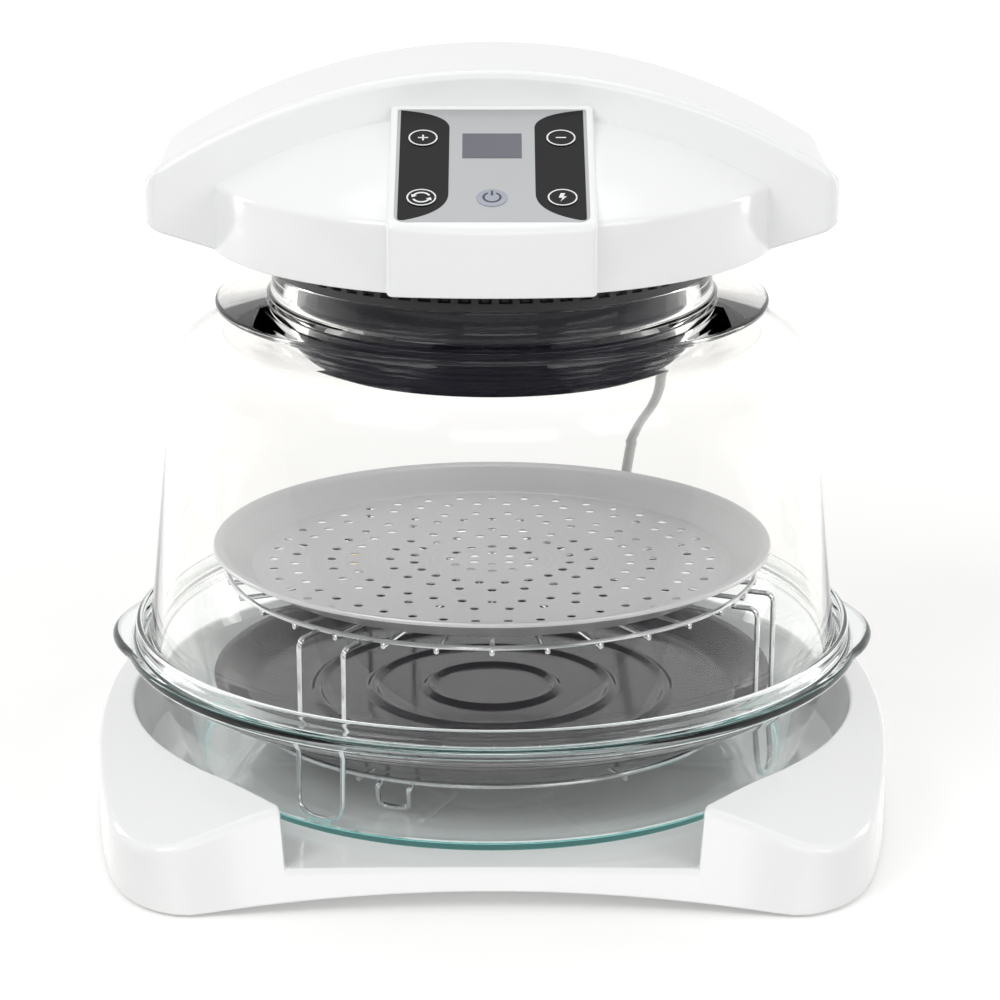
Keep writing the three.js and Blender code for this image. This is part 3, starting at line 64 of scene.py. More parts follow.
# Mains cord: a light grey round lead, 6.5 mm thick and 1.42 m long, moulded in PVC. It leaves the rear of
# the head, hangs down behind the glass, runs back over the worktop, is wound in a coil of two layers and
# ends in its plug.
mm = 0.001
cord_diameter = 6.5
cord_radius = cord_diameter / 2
clearance = 0.3
exit_angle, exit_height = radians(65.016), 326
exit_way = np.array([cos(exit_angle), sin(exit_angle), 0])
relief_start = 152 * cos(radians(5))
relief_length = 34
relief_tip = relief_start + relief_length + clearance
coil_centre = np.array([-10.0, 302.0])
coil_outer, coil_pitch, coil_lift, coil_turns = 43, 7.1, 4.7, 4.25
coil_start = np.array([coil_centre[0] + coil_outer, coil_centre[1] - cord_diameter - clearance, coil_lift])
hanging_points = np.array([
    exit_way * relief_tip + [0, 0, exit_height],
    exit_way * (relief_tip + 3 * cord_radius) + [0, 0, exit_height],
    [88.5, 192, 320.5], [93.5, 202, 308], [98, 208, 286], [101, 210, 255], [102, 210, 215],
    [98, 209, 178], [88.5, 208, 150], [83, 208, 122], [80, 209, 88], [76, 211, 56],
    [70, 217, 29], [59, 229, 11], [47, 245, 4.6], [37.5, 264, 4],
    coil_start - [0, 6 * cord_radius, 0], coil_start - [0, 3 * cord_radius, 0], coil_start,
])


def through(points, steps):
    """A smooth path through points: on each stretch a cubic with Catmull-Rom slopes, timed by the square
    root of distance."""
    ends = np.vstack([2 * points[0] - points[1], points, 2 * points[-1] - points[-2]])
    p0, p1, p2, p3 = ends[:-3], ends[1:-2], ends[2:-1], ends[3:]
    d0, d1, d2 = (np.sqrt(np.linalg.norm(b - a, axis=1))[:, None] for a, b in ((p0, p1), (p1, p2), (p2, p3)))
    slope1 = ((p1 - p0) / d0 - (p2 - p0) / (d0 + d1) + (p2 - p1) / d1) * d1
    slope2 = ((p2 - p1) / d1 - (p3 - p1) / (d1 + d2) + (p3 - p2) / d2) * d1
    t = (np.arange(steps) / steps)[None, :, None]
    p1, p2, slope1, slope2 = (a[:, None, :] for a in (p1, p2, slope1, slope2))
    square, cube = 3 * (p2 - p1) - 2 * slope1 - slope2, 2 * (p1 - p2) + slope1 + slope2
    path = p1 + slope1 * t + square * t**2 + cube * t**3
    return np.vstack([path.reshape(-1, 3), points[-1]])


def coiled(turns_at):
    """Spiral in and out again: radius falls by one pitch a turn to the middle turn and grows back, height
    steps up one pitch in the half turn round it; angle = 2 pi turn. Beyond its ends the path runs straight
    on."""
    wound = np.clip(turns_at, 0, coil_turns)
    middle = coil_turns / 2
    radius = coil_outer - coil_pitch * (middle - np.abs(wound - middle))
    rise = np.clip((wound - middle + 0.25) / 0.5, 0, 1)
    rise = rise * rise * (3 - 2 * rise)
    angle, onward = 2 * pi * wound, (turns_at - wound) * 2 * pi * coil_outer
    return np.stack([
        coil_centre[0] + radius * np.cos(angle) - onward * np.sin(angle),
        coil_centre[1] + radius * np.sin(angle) + onward * np.cos(angle),
        coil_lift + coil_pitch * rise,
    ], -1)


lead_turns = cord_diameter / (2 * pi * coil_outer)
coil_path = coiled(np.linspace(-lead_turns, coil_turns + lead_turns, 106))
coil_end = coil_path[-1]
coil_way = np.array([-sin(2 * pi * coil_turns), cos(2 * pi * coil_turns), 0])
plug_height = 18.8
tail_end = coil_end + coil_way * 32.3
tail_end[2] = plug_height
tail_share = np.linspace(0, 1, 5)[1:, None]
tail_controls = [coil_end, coil_end + coil_way * 16, tail_end - coil_way * 16, tail_end]
tail_rest = 1 - tail_share
tail_weights = (tail_rest**3, 3 * tail_share * tail_rest**2, 3 * tail_share**2 * tail_rest, tail_share**3)
tail_path = sum(c * w for c, w in zip(tail_controls, tail_weights))
hanging_path = through(hanging_points, 8)
hanging_path = hanging_path[np.linspace(0, len(hanging_path) - 1, 38).round().astype(int)]
cord_path = np.vstack([hanging_path[:-1], coil_path, tail_path])

cord_curve = bpy.data.curves.new("mains_cord", "CURVE")
cord_curve.dimensions = "3D"
cord_curve.bevel_depth = cord_radius * mm
cord_curve.bevel_resolution = 4
cord_curve.resolution_u = 5
cord_curve.use_fill_caps = True
spline = cord_curve.splines.new("BEZIER")
spline.bezier_points.add(len(cord_path) - 1)
spline.bezier_points.foreach_set("co", (cord_path * mm).ravel())
for point in spline.bezier_points:
    point.handle_left_type = point.handle_right_type = "AUTO"
cord = bpy.data.objects.new("mains_cord", cord_curve)
scene.collection.objects.link(cord)


def put(tree, kind, given=(), **settings):
    """One shader node in a tree. Each given input is a plain value, or the output of another node, which is
    linked."""
    node = tree.nodes.new("ShaderNode" + kind)
    for setting, value in settings.items():
        setattr(node, setting, value)
    for socket, value in dict(given).items():
        if isinstance(value, bpy.types.NodeSocket):
            tree.links.new(value, node.inputs[socket])
        else:
            node.inputs[socket].default_value = value
    return node


def new_group(name, inputs, outputs):
    """An empty node group with named sockets and their kinds, what it is given and what it puts out."""
    group = bpy.data.node_groups.new(name, "ShaderNodeTree")
    for way, sockets in (("INPUT", inputs), ("OUTPUT", outputs)):
        for socket, kind in sockets.items():
            group.interface.new_socket(socket, in_out=way, socket_type="NodeSocket" + kind)
    return group, group.nodes.new("NodeGroupInput").outputs, group.nodes.new("NodeGroupOutput").inputs


def skin_group():
    """Node group: a soft cloudiness and a fine grain over a surface, both noise on object coordinates.
    Colour = colour times 1 +- cloud; roughness = roughness +- spread; normal from the grain's height."""
    group, given, out = new_group(
        "surface_skin", {"Colour": "Color", "Cloud": "Float", "Cloud Scale": "Float", "Roughness": "Float",
                         "Spread": "Float", "Grain Scale": "Float", "Grain": "Float"},
        {"Colour": "Color", "Roughness": "Float", "Normal": "Vector"})
    place = put(group, "TexCoord").outputs["Object"]
    cloud = put(group, "TexNoise", {"Vector": place, "Scale": given["Cloud Scale"], "Detail": 3})
    centred = put(group, "Math", {0: cloud.outputs["Fac"], 1: 0.5}, operation="SUBTRACT").outputs[0]
    share = put(group, "Math", {0: centred, 1: given["Cloud"], 2: 1}, operation="MULTIPLY_ADD")
    tone = put(group, "VectorMath", {0: given["Colour"], "Scale": share.outputs[0]}, operation="SCALE")
    rough = put(group, "Math", {0: centred, 1: given["Spread"], 2: given["Roughness"]},
                operation="MULTIPLY_ADD")
    grain = put(group, "TexNoise", {"Vector": place, "Scale": given["Grain Scale"], "Detail": 2})
    bump = put(group, "Bump", {"Distance": 0.0003, "Strength": given["Grain"], "Height": grain.outputs["Fac"]})
    group.links.new(tone.outputs[0], out["Colour"])
    group.links.new(rough.outputs[0], out["Roughness"])
    group.links.new(bump.outputs["Normal"], out["Normal"])
    return group


surface_skin = skin_group()


def finish(name, colour, cloud=0.06, cloud_scale=14, roughness=0.4, spread=0.1, grain_scale=900, grain=0.1,
           **constants):
    """A material whose colour, roughness and normal come from the shared skin. Constants go on the shader
    itself."""
    material = bpy.data.materials.new(name)
    material.use_nodes = True
    tree = material.node_tree
    shader = tree.nodes["Principled BSDF"]
    skin = put(tree, "Group", {
        "Colour": (*colour, 1), "Cloud": cloud, "Cloud Scale": cloud_scale, "Roughness": roughness,
        "Spread": spread, "Grain Scale": grain_scale, "Grain": grain}, node_tree=surface_skin, name="skin")
    for output, socket in (("Colour", "Base Color"), ("Roughness", "Roughness"), ("Normal", "Normal")):
        tree.links.new(skin.outputs[output], shader.inputs[socket])
    for socket, value in constants.items():
        shader.inputs[socket.replace("_", " ")].default_value = value
    return material


def grid_faces(rows, columns, rows_closed=False, columns_closed=True):
    """Quads between neighbours of a grid of points; a closed direction joins its last line to its first."""
    row = np.arange(rows if rows_closed else rows - 1)[:, None]
    column = np.arange(columns if columns_closed else columns - 1)[None, :]
    next_row, next_column = (row + 1) % rows, (column + 1) % columns
    return np.stack([row * columns + column, row * columns + next_column,
                     next_row * columns + next_column, next_row * columns + column], -1).reshape(-1, 4)


def piece(name, points, faces, material, body, slot, nodes=(), sharp=32):
    """Puts points in millimetres and faces into a mesh, merges its doubles, turns its faces outwards and
    lets it ride."""
    mesh = bpy.data.meshes.new(name)
    mesh.from_pydata((np.asarray(points, float).reshape(-1, 3) * mm).tolist(), [], np.asarray(faces).tolist())
    whole = bmesh.new()
    whole.from_mesh(mesh)
    bmesh.ops.remove_doubles(whole, verts=whole.verts, dist=2e-6)
    bmesh.ops.recalc_face_normals(whole, faces=whole.faces)
    whole.to_mesh(mesh)
    whole.free()
    mesh.shade_smooth()
    mesh.set_sharp_from_angle(angle=radians(sharp))
    mesh.materials.append(material)
    made = bpy.data.objects.new(name, mesh)
    scene.collection.objects.link(made)
    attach(made, body)
    if nodes:
        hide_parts(*nodes)
    return made


def turned(outline, sides):
    """An outline of [radius, height] carried round Z: x = radius cos(angle), y = radius sin(angle), on a
    grid."""
    outline = np.asarray(outline, float)
    angle = 2 * pi * np.arange(sides) / sides
    radius, height = outline[:, :1], outline[:, 1:]
    return np.stack([radius * np.cos(angle), radius * np.sin(angle), height + 0 * angle], -1)


def turned_faces(outline, sides, closed=False):
    return grid_faces(len(outline), sides, rows_closed=closed)


def eased(corners, reach, steps=4, closed=False):
    """Corners rounded by quadratic bends that start and end at the given reach along both arms. A corner is
    one point, or a whole line of points of a grid, which is then rounded across."""
    corners = np.asarray(corners, float)
    reach = np.broadcast_to(np.asarray(reach, float), len(corners)).copy()
    before, after = np.roll(corners, 1, axis=0), np.roll(corners, -1, axis=0)
    if not closed:
        reach[0] = reach[-1] = 0
        before[0], after[-1] = corners[1], corners[-2]
    each = (-1, *[1] * (corners.ndim - 1))
    arms = []
    for other in (before, after):
        arm = other - corners
        length = np.linalg.norm(arm, axis=-1, keepdims=True)
        arms.append(corners + arm * np.minimum(reach.reshape(each), 0.48 * length) / np.maximum(length, 1e-9))
    t = np.linspace(0, 1, steps + 1).reshape(each)
    bends = [(1 - t)**2 * a + 2 * t * (1 - t) * c + t**2 * b for a, c, b in zip(arms[0], corners, arms[1])]
    return np.vstack([bend if r > 0 else corner[None] for bend, r, corner in zip(bends, reach, corners)])


def laid(points, way, start):
    """Points drawn along Z are laid along a level way from a start point: x goes down, y across, z
    along."""
    across = np.array([-way[1], way[0], 0])
    points = np.asarray(points, float)
    return start + points[..., 2:] * way + points[..., 1:2] * across + points[..., :1] * np.array([0, 0, -1])


cord_grey = finish("cord_grey", (0.62, 0.62, 0.61), cloud=0.08, cloud_scale=30, roughness=0.45, spread=0.12,
                   grain_scale=1400, grain=0.15)
cord_curve.materials.append(cord_grey)
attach(cord, "head")
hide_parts("cord_free", "cord_coil", "cord_tail")

# Strain relief: a ribbed tapered sleeve of the same soft PVC, moulded on the cord and held in the head's
# rear wall by its collar.
relief_ribs = 6
rib_share = np.linspace(0, 1, 8 * relief_ribs + 1)
rib_height = 0.55 * np.clip(np.sin(2 * pi * relief_ribs * rib_share), -0.4, 1)
relief_sleeve = np.stack([6.3 - 2 * rib_share + rib_height * (1 - 0.4 * rib_share),
                          5.5 + (relief_length - 6.5) * rib_share], -1)
relief_outline = np.vstack([
    [[0, -6], [7.8, -6], [7.8, -3.2], [5.6, -3.1], [5.6, 0.3]],
    eased([[5.6, 0.3], [8, 0.3], [8, 4], [6.3, 4.6]], 1)[1:],
    relief_sleeve, [[4.2, relief_length], [3.4, relief_length], [0, relief_length]]])
relief_seat = exit_way * relief_start + [0, 0, exit_height]
relief = piece("strain_relief_sleeve", laid(turned(relief_outline, 28), exit_way, relief_seat),
               turned_faces(relief_outline, 28), cord_grey, "head", "cord_grey", ["strain_relief"])

# Cord tie: a black strap of hook-and-loop tape, 6 mm wide, wrapped once round the bundle of the coil.
tie_black = finish("tie_black", (0.025, 0.025, 0.027), cloud=0.3, cloud_scale=160, roughness=0.85, spread=0.1,
                   grain_scale=2500, grain=0.9)
tie_gap = cord_radius + clearance
tie_in, tie_out = coil_outer - coil_pitch * coil_turns / 2 - tie_gap, coil_outer + tie_gap
tie_low, tie_high = coil_lift - tie_gap, coil_lift + coil_pitch + tie_gap


def tie_loop(grown):
    """Rounded rectangle round the bundle's section, grown outwards, as [radius, height] pairs."""
    corners = [[tie_in - grown, tie_low - grown], [tie_out + grown, tie_low - grown],
               [tie_out + grown, tie_high + grown], [tie_in - grown, tie_high + grown]]
    return eased(corners, 2.5 + grown, closed=True)


tie_rows = []
for width, grown in ((-3, 0), (3, 0), (3, 0.7), (-3, 0.7)):
    loop = tie_loop(grown)
    tie_rows.append(np.stack([loop[:, 0], np.full(len(loop), width), loop[:, 1]], -1))
tie_points = np.array(tie_rows)
tie_angle = 2 * pi * 0.6
tie_turn = np.array([[cos(tie_angle), -sin(tie_angle), 0], [sin(tie_angle), cos(tie_angle), 0], [0, 0, 1]])
tie_faces = grid_faces(4, tie_points.shape[1], rows_closed=True)
tie = piece("cord_tie_strap", tie_points @ tie_turn.T + [*coil_centre, 0], tie_faces, tie_black, "head",
            "black_plastic", ["cord_tie"])

# Plug: two round brass pins in a moulded body of grey PVC, with ribs to grip it by, on the end of the cord.
plug_start = tail_end + coil_way * clearance
plug_outline = np.vstack([
    [[0, 0]], eased([[5.3, 0], [6.2, 6], [9, 12], [11.5, 16], [17.6, 22], [18.5, 26], [18.5, 39.2], [17.2, 40]],
                    [0, 2, 2, 2, 3, 2, 0.6, 0]), [[0, 40]]])
plug_sides = 48
plug_points = turned(plug_outline, plug_sides)
grip_mask = np.clip(1 - np.abs(plug_points[..., 2] - 31) / 6, 0, 1)[..., None]
grip_ribs, grip_depth = 16, 0.035
grip_angle = grip_ribs * 2 * pi * np.arange(plug_sides) / plug_sides
grip_wave = 1 - grip_depth * grip_mask * (0.5 - 0.5 * np.cos(grip_angle))[None, :, None]
plug_points = plug_points * np.concatenate([grip_wave, grip_wave, np.ones_like(grip_wave)], -1)
plug = piece("plug_moulding", laid(plug_points, coil_way, plug_start), turned_faces(plug_outline, plug_sides),
             cord_grey, "head", "cord_grey", ["plug_body"])
brass = finish("pin_brass", (0.72, 0.58, 0.32), cloud=0.1, cloud_scale=120, roughness=0.28, spread=0.15,
               grain_scale=1500, grain=0.1, Metallic=1)
pin_radius, pin_end, pin_side = 2.4, 59.3, 9.5
pin_tip = eased([[pin_radius, 40.5], [pin_radius, pin_end], [0, pin_end]], [0, 1.6, 0])
pin_outline = np.vstack([[[0, 40.3], [pin_radius, 40.3]], pin_tip[1:]])
for name, node, side in (("plug_pin_a", "plug_pin_left", 1), ("plug_pin_b", "plug_pin_right", -1)):
    pin_points = laid(turned(pin_outline, 20) + [0, side * pin_side, 0], coil_way, plug_start)
    piece(name, pin_points, turned_faces(pin_outline, 20), brass, "head", "brass_pin", [node])

# Base: one white ABS moulding, open underneath. Two side masses carry the dish's well between them, fall
# away outwards and are bridged by a low deck, which is open to the front and rear between four posts.
white_plastic = finish("white_plastic", (0.86, 0.87, 0.865), cloud=0.02, cloud_scale=9, roughness=0.13,
                       spread=0.05, grain_scale=260, grain=0.01)
base_half_width, base_half_depth = 215, 200
well_top, well_floor, deck_z, rim_z = 198, 190, 22, 1.5
post_top_z, post_slope = 54, 0.327
arch_height, arch_half_width = 9, 150
gap_low, gap_high, corner_floor_y, corner_brim_y = 105, 108, 182, 174.5


def bend_points(start, pull, end, steps=12):
    """Points of a quadratic curve: (1-t)^2 start + 2t(1-t) pull + t^2 end."""
    t = np.linspace(0, 1, steps + 1)[:, None]
    return (1 - t)**2 * np.array(start) + 2 * t * (1 - t) * np.array(pull) + t**2 * np.array(end)


def plan_curve():
    """The right half of the base's outline in plan: five quadratic curves, with a bowed side and a drawn-in
    front and rear, sampled finely."""
    corner_x, corner_y, side_x = 157, 144, 199
    bow_y, bow_x = base_half_depth - 20, 2 * base_half_width - side_x
    pull_x, pull_y = (corner_x + 3 * side_x) / 4, (corner_y + 6 * base_half_depth) / 7
    a, b = [corner_x, -base_half_depth], [side_x, -corner_y]
    c, d = [side_x, corner_y], [corner_x, base_half_depth]
    quads = [([0, -(base_half_depth + bow_y) / 2], [corner_x / 2, (-base_half_depth - bow_y) / 2], a),
             (a, [pull_x, -pull_y], b), (b, [bow_x, 0], c), (c, [pull_x, pull_y], d),
             (d, [corner_x / 2, (base_half_depth + bow_y) / 2], [0, (base_half_depth + bow_y) / 2])]
    return np.vstack([bend_points(*quad, steps=59) for quad in quads])


right_plan = plan_curve()
plan_y_front = right_plan[:, 1] < 0


def front_edge(x):
    """Distance of the outline's front from the middle plane at a given x, read off the plan curve."""
    part = right_plan[plan_y_front & (right_plan[:, 0] <= 157.01)]
    order = np.argsort(part[:, 0])
    return -np.interp(np.abs(x), part[order, 0], part[order, 1])


def spaced(run, count):
    """Points at even lengths along a path in plan."""
    length = np.concatenate([[0], np.cumsum(np.linalg.norm(np.diff(run, axis=0), axis=1))])
    share = np.linspace(0, length[-1], count)
    return np.stack([np.interp(share, length, run[:, k]) for k in (0, 1)], -1)


def side_stations(count):
    """Points along the right side, front gap to rear gap, on the foot of the well's wall, on its brim and
    on the outline. The wall is an arc of a circle, and from the arc's ends it runs straight on to the
    corners of the gaps."""
    start = [gap_high, -float(front_edge(gap_high))]
    run = right_plan[(right_plan[:, 0] > gap_high)]
    outline = np.vstack([start, run, [start[0], -start[1]]])
    angle = radians(45.5) * np.linspace(-1, 1, 60)
    arc = np.stack([np.cos(angle), np.sin(angle)], -1)
    paths = [np.vstack([[x, -y], radius * arc, [x, y]])
             for radius, x, y in ((well_floor, gap_low, corner_floor_y), (well_top, gap_high, corner_brim_y))]
    return [spaced(path, count) for path in (*paths, outline)]


def arch_rise(x):
    """Height of the arch that lifts the lower edge at the front and rear: a parabola."""
    return arch_height * np.clip(1 - (x / arch_half_width)**2, 0, 1)


def drawn_in(outline, rise):
    """The front and rear walls lean in towards their top: y falls by a slope times the rise, and the slope
    grows from 0 at the outer corners to its full value beside the gap."""
    slope = 0.4 * np.clip((180 - np.abs(outline[:, 0])) / 70, 0, 1)
    return outline - np.stack([0 * rise, np.sign(outline[:, 1]) * slope * rise], -1)


gap_count, side_count = 29, 61


def base_columns():
    """Columns of the base's grid: for each, where the deck ends, the well's brim, the top and the foot of
    the outer wall, and the heights of the last three."""
    low, top, outline = side_stations(side_count)
    gap_x = np.linspace(-gap_low, gap_low, gap_count)
    columns = []
    for mirror in (1, -1):
        x = gap_x * mirror
        gap_rows = corner_floor_y, corner_floor_y + 1.5
        floor, brim = (np.stack([x, np.full(len(x), -mirror * y)], -1) for y in gap_rows)
        foot = np.stack([x, -mirror * front_edge(x)], -1)
        foot_z = arch_rise(x) + rim_z
        flat = np.full(len(x), float(deck_z))
        columns.append((floor, brim, drawn_in(foot, flat - foot_z), foot, flat, flat, foot_z))
        foot = outline * mirror
        foot_z = np.where(np.abs(outline[:, 1]) > 143, arch_rise(outline[:, 0]), 0) + rim_z
        edge = drawn_in(foot, post_top_z - 5 - foot_z)
        roof, crest = (post_top_z - post_slope * np.maximum(np.linalg.norm(line, axis=1) - well_top, 0)
                       for line in (edge, top))
        columns.append((low * mirror, top * mirror, edge, foot, crest, roof, foot_z))
    return [np.concatenate(parts) for parts in zip(*columns)]


floor_xy, brim_xy, edge_xy, foot_xy, brim_z, roof_z, foot_z = base_columns()
inward = -foot_xy / np.linalg.norm(foot_xy, axis=1)[:, None]


def at(xy, z):
    return np.concatenate([xy, np.broadcast_to(np.asarray(z, float), len(xy))[:, None]], 1)


base_rows = np.array([
    at(floor_xy * 0, deck_z), at(floor_xy * 0.6, deck_z), at(floor_xy, deck_z), at(brim_xy, brim_z),
    at(edge_xy, roof_z), at(foot_xy, foot_z), at(foot_xy + inward * 3, foot_z),
    at(foot_xy + inward * 8, deck_z - 3.4), at(foot_xy * 0.5, deck_z - 3.2), at(foot_xy * 0, deck_z - 3)])
base_rows = eased(base_rows, [0, 0, 1.5, 2.2, 4.5, 1.2, 0.8, 0, 0, 0], steps=6)
corner_reach = np.zeros(len(foot_xy))
for start in (0, gap_count + side_count):
    corner_reach[[start, start + gap_count - 1]] = 2.5
    corner_reach[[start + gap_count, start + gap_count + side_count - 1]] = 4
base_columns_eased = eased(base_rows.swapaxes(0, 1), corner_reach, steps=6, closed=True)
base_faces = grid_faces(len(base_columns_eased), base_rows.shape[0], rows_closed=True, columns_closed=False)
base = piece("base_moulding", base_columns_eased, base_faces, white_plastic, "base", "white_plastic",
             ["base_shell"], sharp=180)


def evened(made):
    """Weighted normals keep wide faces flat beside their rounded edges."""
    weighted = made.modifiers.new("even_normals", "WEIGHTED_NORMAL")
    weighted.keep_sharp = True


evened(base)

# Feet: four round pads of dark grey rubber, pushed into bosses under the base's corners.
rubber = finish("foot_rubber", (0.09, 0.09, 0.095), cloud=0.25, cloud_scale=60, roughness=0.8, spread=0.1,
                grain_scale=1800, grain=0.5)
foot_outline = np.vstack([
    [[0, 0], [8.5, 0], [9, 0.5]], eased([[9, 0.5], [10, 0], [12, 0], [12, 5.7], [3.7, 5.7], [3.7, 15]],
                                        [0, 0.4, 1, 1, 0.6, 0])[1:], [[0, 15]]])
foot_out = 158


def turned_piece(name, outline, sides, material, body, slot, nodes, closed=False, shift=(0, 0, 0), sharp=32):
    """A piece whose outline is carried round Z, and shifted."""
    return piece(name, turned(outline, sides) + shift, turned_faces(outline, sides, closed), material, body,
                 slot, nodes, sharp)


for end, y in (("front", -foot_out), ("rear", foot_out)):
    for side, x in (("left", -foot_out), ("right", foot_out)):
        turned_piece(f"foot_pad_{end}_{side}", foot_outline, 40, rubber, "base", "grey_rubber",
                     [f"foot_{end}_{side}"], shift=(x, y, 0))


# Dish: pressed borosilicate glass with a flat foot, sloping wall, ledge for the dome, upright lip and a
# flange with two ears to lift it by. It stands loose in the base's well.
def height_and_radius(tree):
    """A point's height and its distance from the Z axis, from its object coordinates."""
    parts = put(tree, "SeparateXYZ", {0: put(tree, "TexCoord").outputs["Object"]}).outputs
    flat = put(tree, "CombineXYZ", {"X": parts["X"], "Y": parts["Y"]})
    return parts["Z"], put(tree, "VectorMath", {0: flat.outputs[0]}, operation="LENGTH").outputs["Value"]


def tint_group():
    """Node group: a tint in the thick ring at a glass piece's foot. Its mask is a smooth step down over the
    given height times a smooth step up over the given radius. It slides the colour from clear to tint, and
    gives the same ring a painted glow: an emission that stands in for light seen in the thick edge."""
    group, given, out = new_group("foot_tint", {
        "Height": "Float", "Radius": "Float", "Clear": "Color", "Tint": "Color", "Painted Glow": "Color"},
        {"Colour": "Color", "Painted Glow": "Color"})
    height, radius = height_and_radius(group)
    steps = []
    for source, limit, softness, low, high in (
            (height, "Height", 0.004, 1, 0), (radius, "Radius", 0.006, 0, 1)):
        start = put(group, "Math", {0: given[limit], 1: softness}, operation="SUBTRACT")
        steps.append(put(group, "MapRange", {
            "Value": source, "From Min": start.outputs[0], "From Max": given[limit], "To Min": low,
            "To Max": high}, interpolation_type="SMOOTHSTEP").outputs["Result"])
    mask = put(group, "Math", {0: steps[0], 1: steps[1]}, operation="MULTIPLY").outputs[0]
    mix = put(group, "Mix", {"Factor": mask, "A": given["Clear"], "B": given["Tint"]}, data_type="RGBA")
    painted_glow = put(group, "VectorMath", {0: given["Painted Glow"], "Scale": mask}, operation="SCALE")
    group.links.new(mix.outputs["Result"], out["Colour"])
    group.links.new(painted_glow.outputs[0], out["Painted Glow"])
    return group


foot_tint = tint_group()


def glass(name, clear, tint, height, radius, edge, edge_share, painted_glow=(0, 0, 0), roughness=0.02, ior=1.47):
    """Clear glass tinted in the ring at its foot and, by Layer Weight, where it is seen edge on. A painted
    glow, an emission in that ring, stands in for light seen in the thick edge. Light for shadows and diffuse
    surfaces passes straight through, and so does light that has met many surfaces before."""
    material = finish(name, clear, cloud=0, roughness=roughness, spread=0.01, grain_scale=40, grain=0.0,
                      Transmission_Weight=1, IOR=ior)
    tree = material.node_tree
    shader = tree.nodes["Principled BSDF"]
    tinted = put(tree, "Group", {"Height": height, "Radius": radius, "Clear": (*clear, 1), "Tint": (*tint, 1),
                                 "Painted Glow": (*painted_glow, 1)}, node_tree=foot_tint)
    tree.links.new(tinted.outputs["Painted Glow"], shader.inputs["Emission Color"])
    shader.inputs["Emission Strength"].default_value = 1 if any(painted_glow) else 0
    facing = put(tree, "LayerWeight", {"Blend": edge_share})
    edged = put(tree, "Mix", {"Factor": facing.outputs["Facing"], "A": tinted.outputs["Colour"],
                              "B": (*edge, 1)}, data_type="RGBA", blend_type="MULTIPLY")
    tree.links.new(edged.outputs["Result"], tree.nodes["skin"].inputs["Colour"])
    many_surfaces = 6
    rays = put(tree, "LightPath").outputs
    lighting = put(tree, "Math", {0: rays["Is Shadow Ray"], 1: rays["Is Diffuse Ray"]}, operation="MAXIMUM")
    trapped = put(tree, "Math", {0: rays["Ray Depth"], 1: many_surfaces}, operation="GREATER_THAN")
    either = put(tree, "Math", {0: lighting.outputs[0], 1: trapped.outputs[0]}, operation="MAXIMUM")
    straight_on = put(tree, "BsdfTransparent", {"Color": (0.99, 0.99, 0.99, 1)})
    passed = put(tree, "MixShader", {"Fac": either.outputs[0], 1: shader.outputs[0],
                                     2: straight_on.outputs[0]})
    tree.links.new(passed.outputs[0], tree.nodes["Material Output"].inputs["Surface"])
    return material


# The dish's foot ring gets a painted glow: a faint teal emission that stands in for light seen in the thick
# edge.
dish_glass = glass("dish_glass", (0.965, 0.985, 0.98), (0.2, 0.68, 0.64), 0.03, 0.164,
                   (0.95, 0.975, 0.97), 0.35, painted_glow=(0.05, 0.15, 0.14), ior=1.4)
dish_outline = eased([
    [0, 23.5], [140, 23.5], [150, 22.3], [164, 22.3], [165.5, 26.8], [171, 30.3], [190, 79], [196, 84.7],
    [201.3, 84.7], [201.3, 90.7], [195.5, 90.7], [195.5, 99], [191.5, 99], [191.5, 85], [183.5, 85],
    [164.5, 36.3], [161, 28.3], [0, 28.3]],
    [0, 2, 2, 1, 1.2, 3, 4, 2, 2.8, 2.8, 1.4, 1.8, 1.8, 1.2, 2, 6, 3, 0], steps=5)
dish_sides = 192
dish_points = turned(dish_outline, dish_sides)
dish_angle = 2 * pi * np.arange(dish_sides) / dish_sides
ear_reach, ear_radius, flange_radius = 209, 90, 201.3
ear_offset = ear_reach - ear_radius
ear_part = np.sqrt(np.maximum(ear_radius**2 - (ear_offset * np.sin(dish_angle))**2, 0))
ear_edge = np.maximum(flange_radius, ear_offset * np.abs(np.cos(dish_angle)) + ear_part)
flange_share = np.clip((dish_outline[:, 0] - 196) / (flange_radius - 196), 0, 1)[:, None]
flange_share = flange_share * ((dish_outline[:, 1] > 84) & (dish_outline[:, 1] < 91))[:, None]
reached = 1 + flange_share * (ear_edge[None, :] - flange_radius) / flange_radius
dish_points[..., 0] *= reached
dish_points[..., 1] *= reached
piece("dish_pressing", dish_points, turned_faces(dish_outline, dish_sides), dish_glass, "dish", "dish_glass",
      ["glass_dish"], sharp=50)


# Low rack: a chromed ring of 2.8 mm wire on three bent legs, welded together, which holds the drip pan off
# the dish.
def swept(path, radius, sides=10, closed=False):
    """A round section carried along a path: path + radius (cos(a) across + sin(a) over), with across square
    to the path and to a slanting direction that no stretch of it follows. Open ends close in a point."""
    path = np.asarray(path, float)
    ahead = (np.roll(path, -1, 0) - np.roll(path, 1, 0)) if closed else np.gradient(path, axis=0)
    ahead /= np.linalg.norm(ahead, axis=1)[:, None]
    slant = np.array([0.36, 0.48, 0.8])
    across = np.cross(ahead, slant)
    across /= np.linalg.norm(across, axis=1)[:, None]
    over = np.cross(across, ahead)
    a = 2 * pi * np.arange(sides) / sides
    ring = across[:, None] * np.cos(a)[None, :, None] + over[:, None] * np.sin(a)[None, :, None]
    points = path[:, None] + radius * ring
    if not closed:
        points = np.concatenate([path[:1, None] + 0 * ring[:1], points, path[-1:, None] + 0 * ring[-1:]])
    return points, grid_faces(len(points), sides, rows_closed=closed)


def gathered(parts):
    """Several grids of points and faces as one: the faces of each count on from the points before it."""
    points = [np.asarray(p).reshape(-1, 3) for p, _ in parts]
    starts = np.cumsum([0] + [len(p) for p in points[:-1]])
    return np.vstack(points), np.vstack([f + s for (_, f), s in zip(parts, starts)])


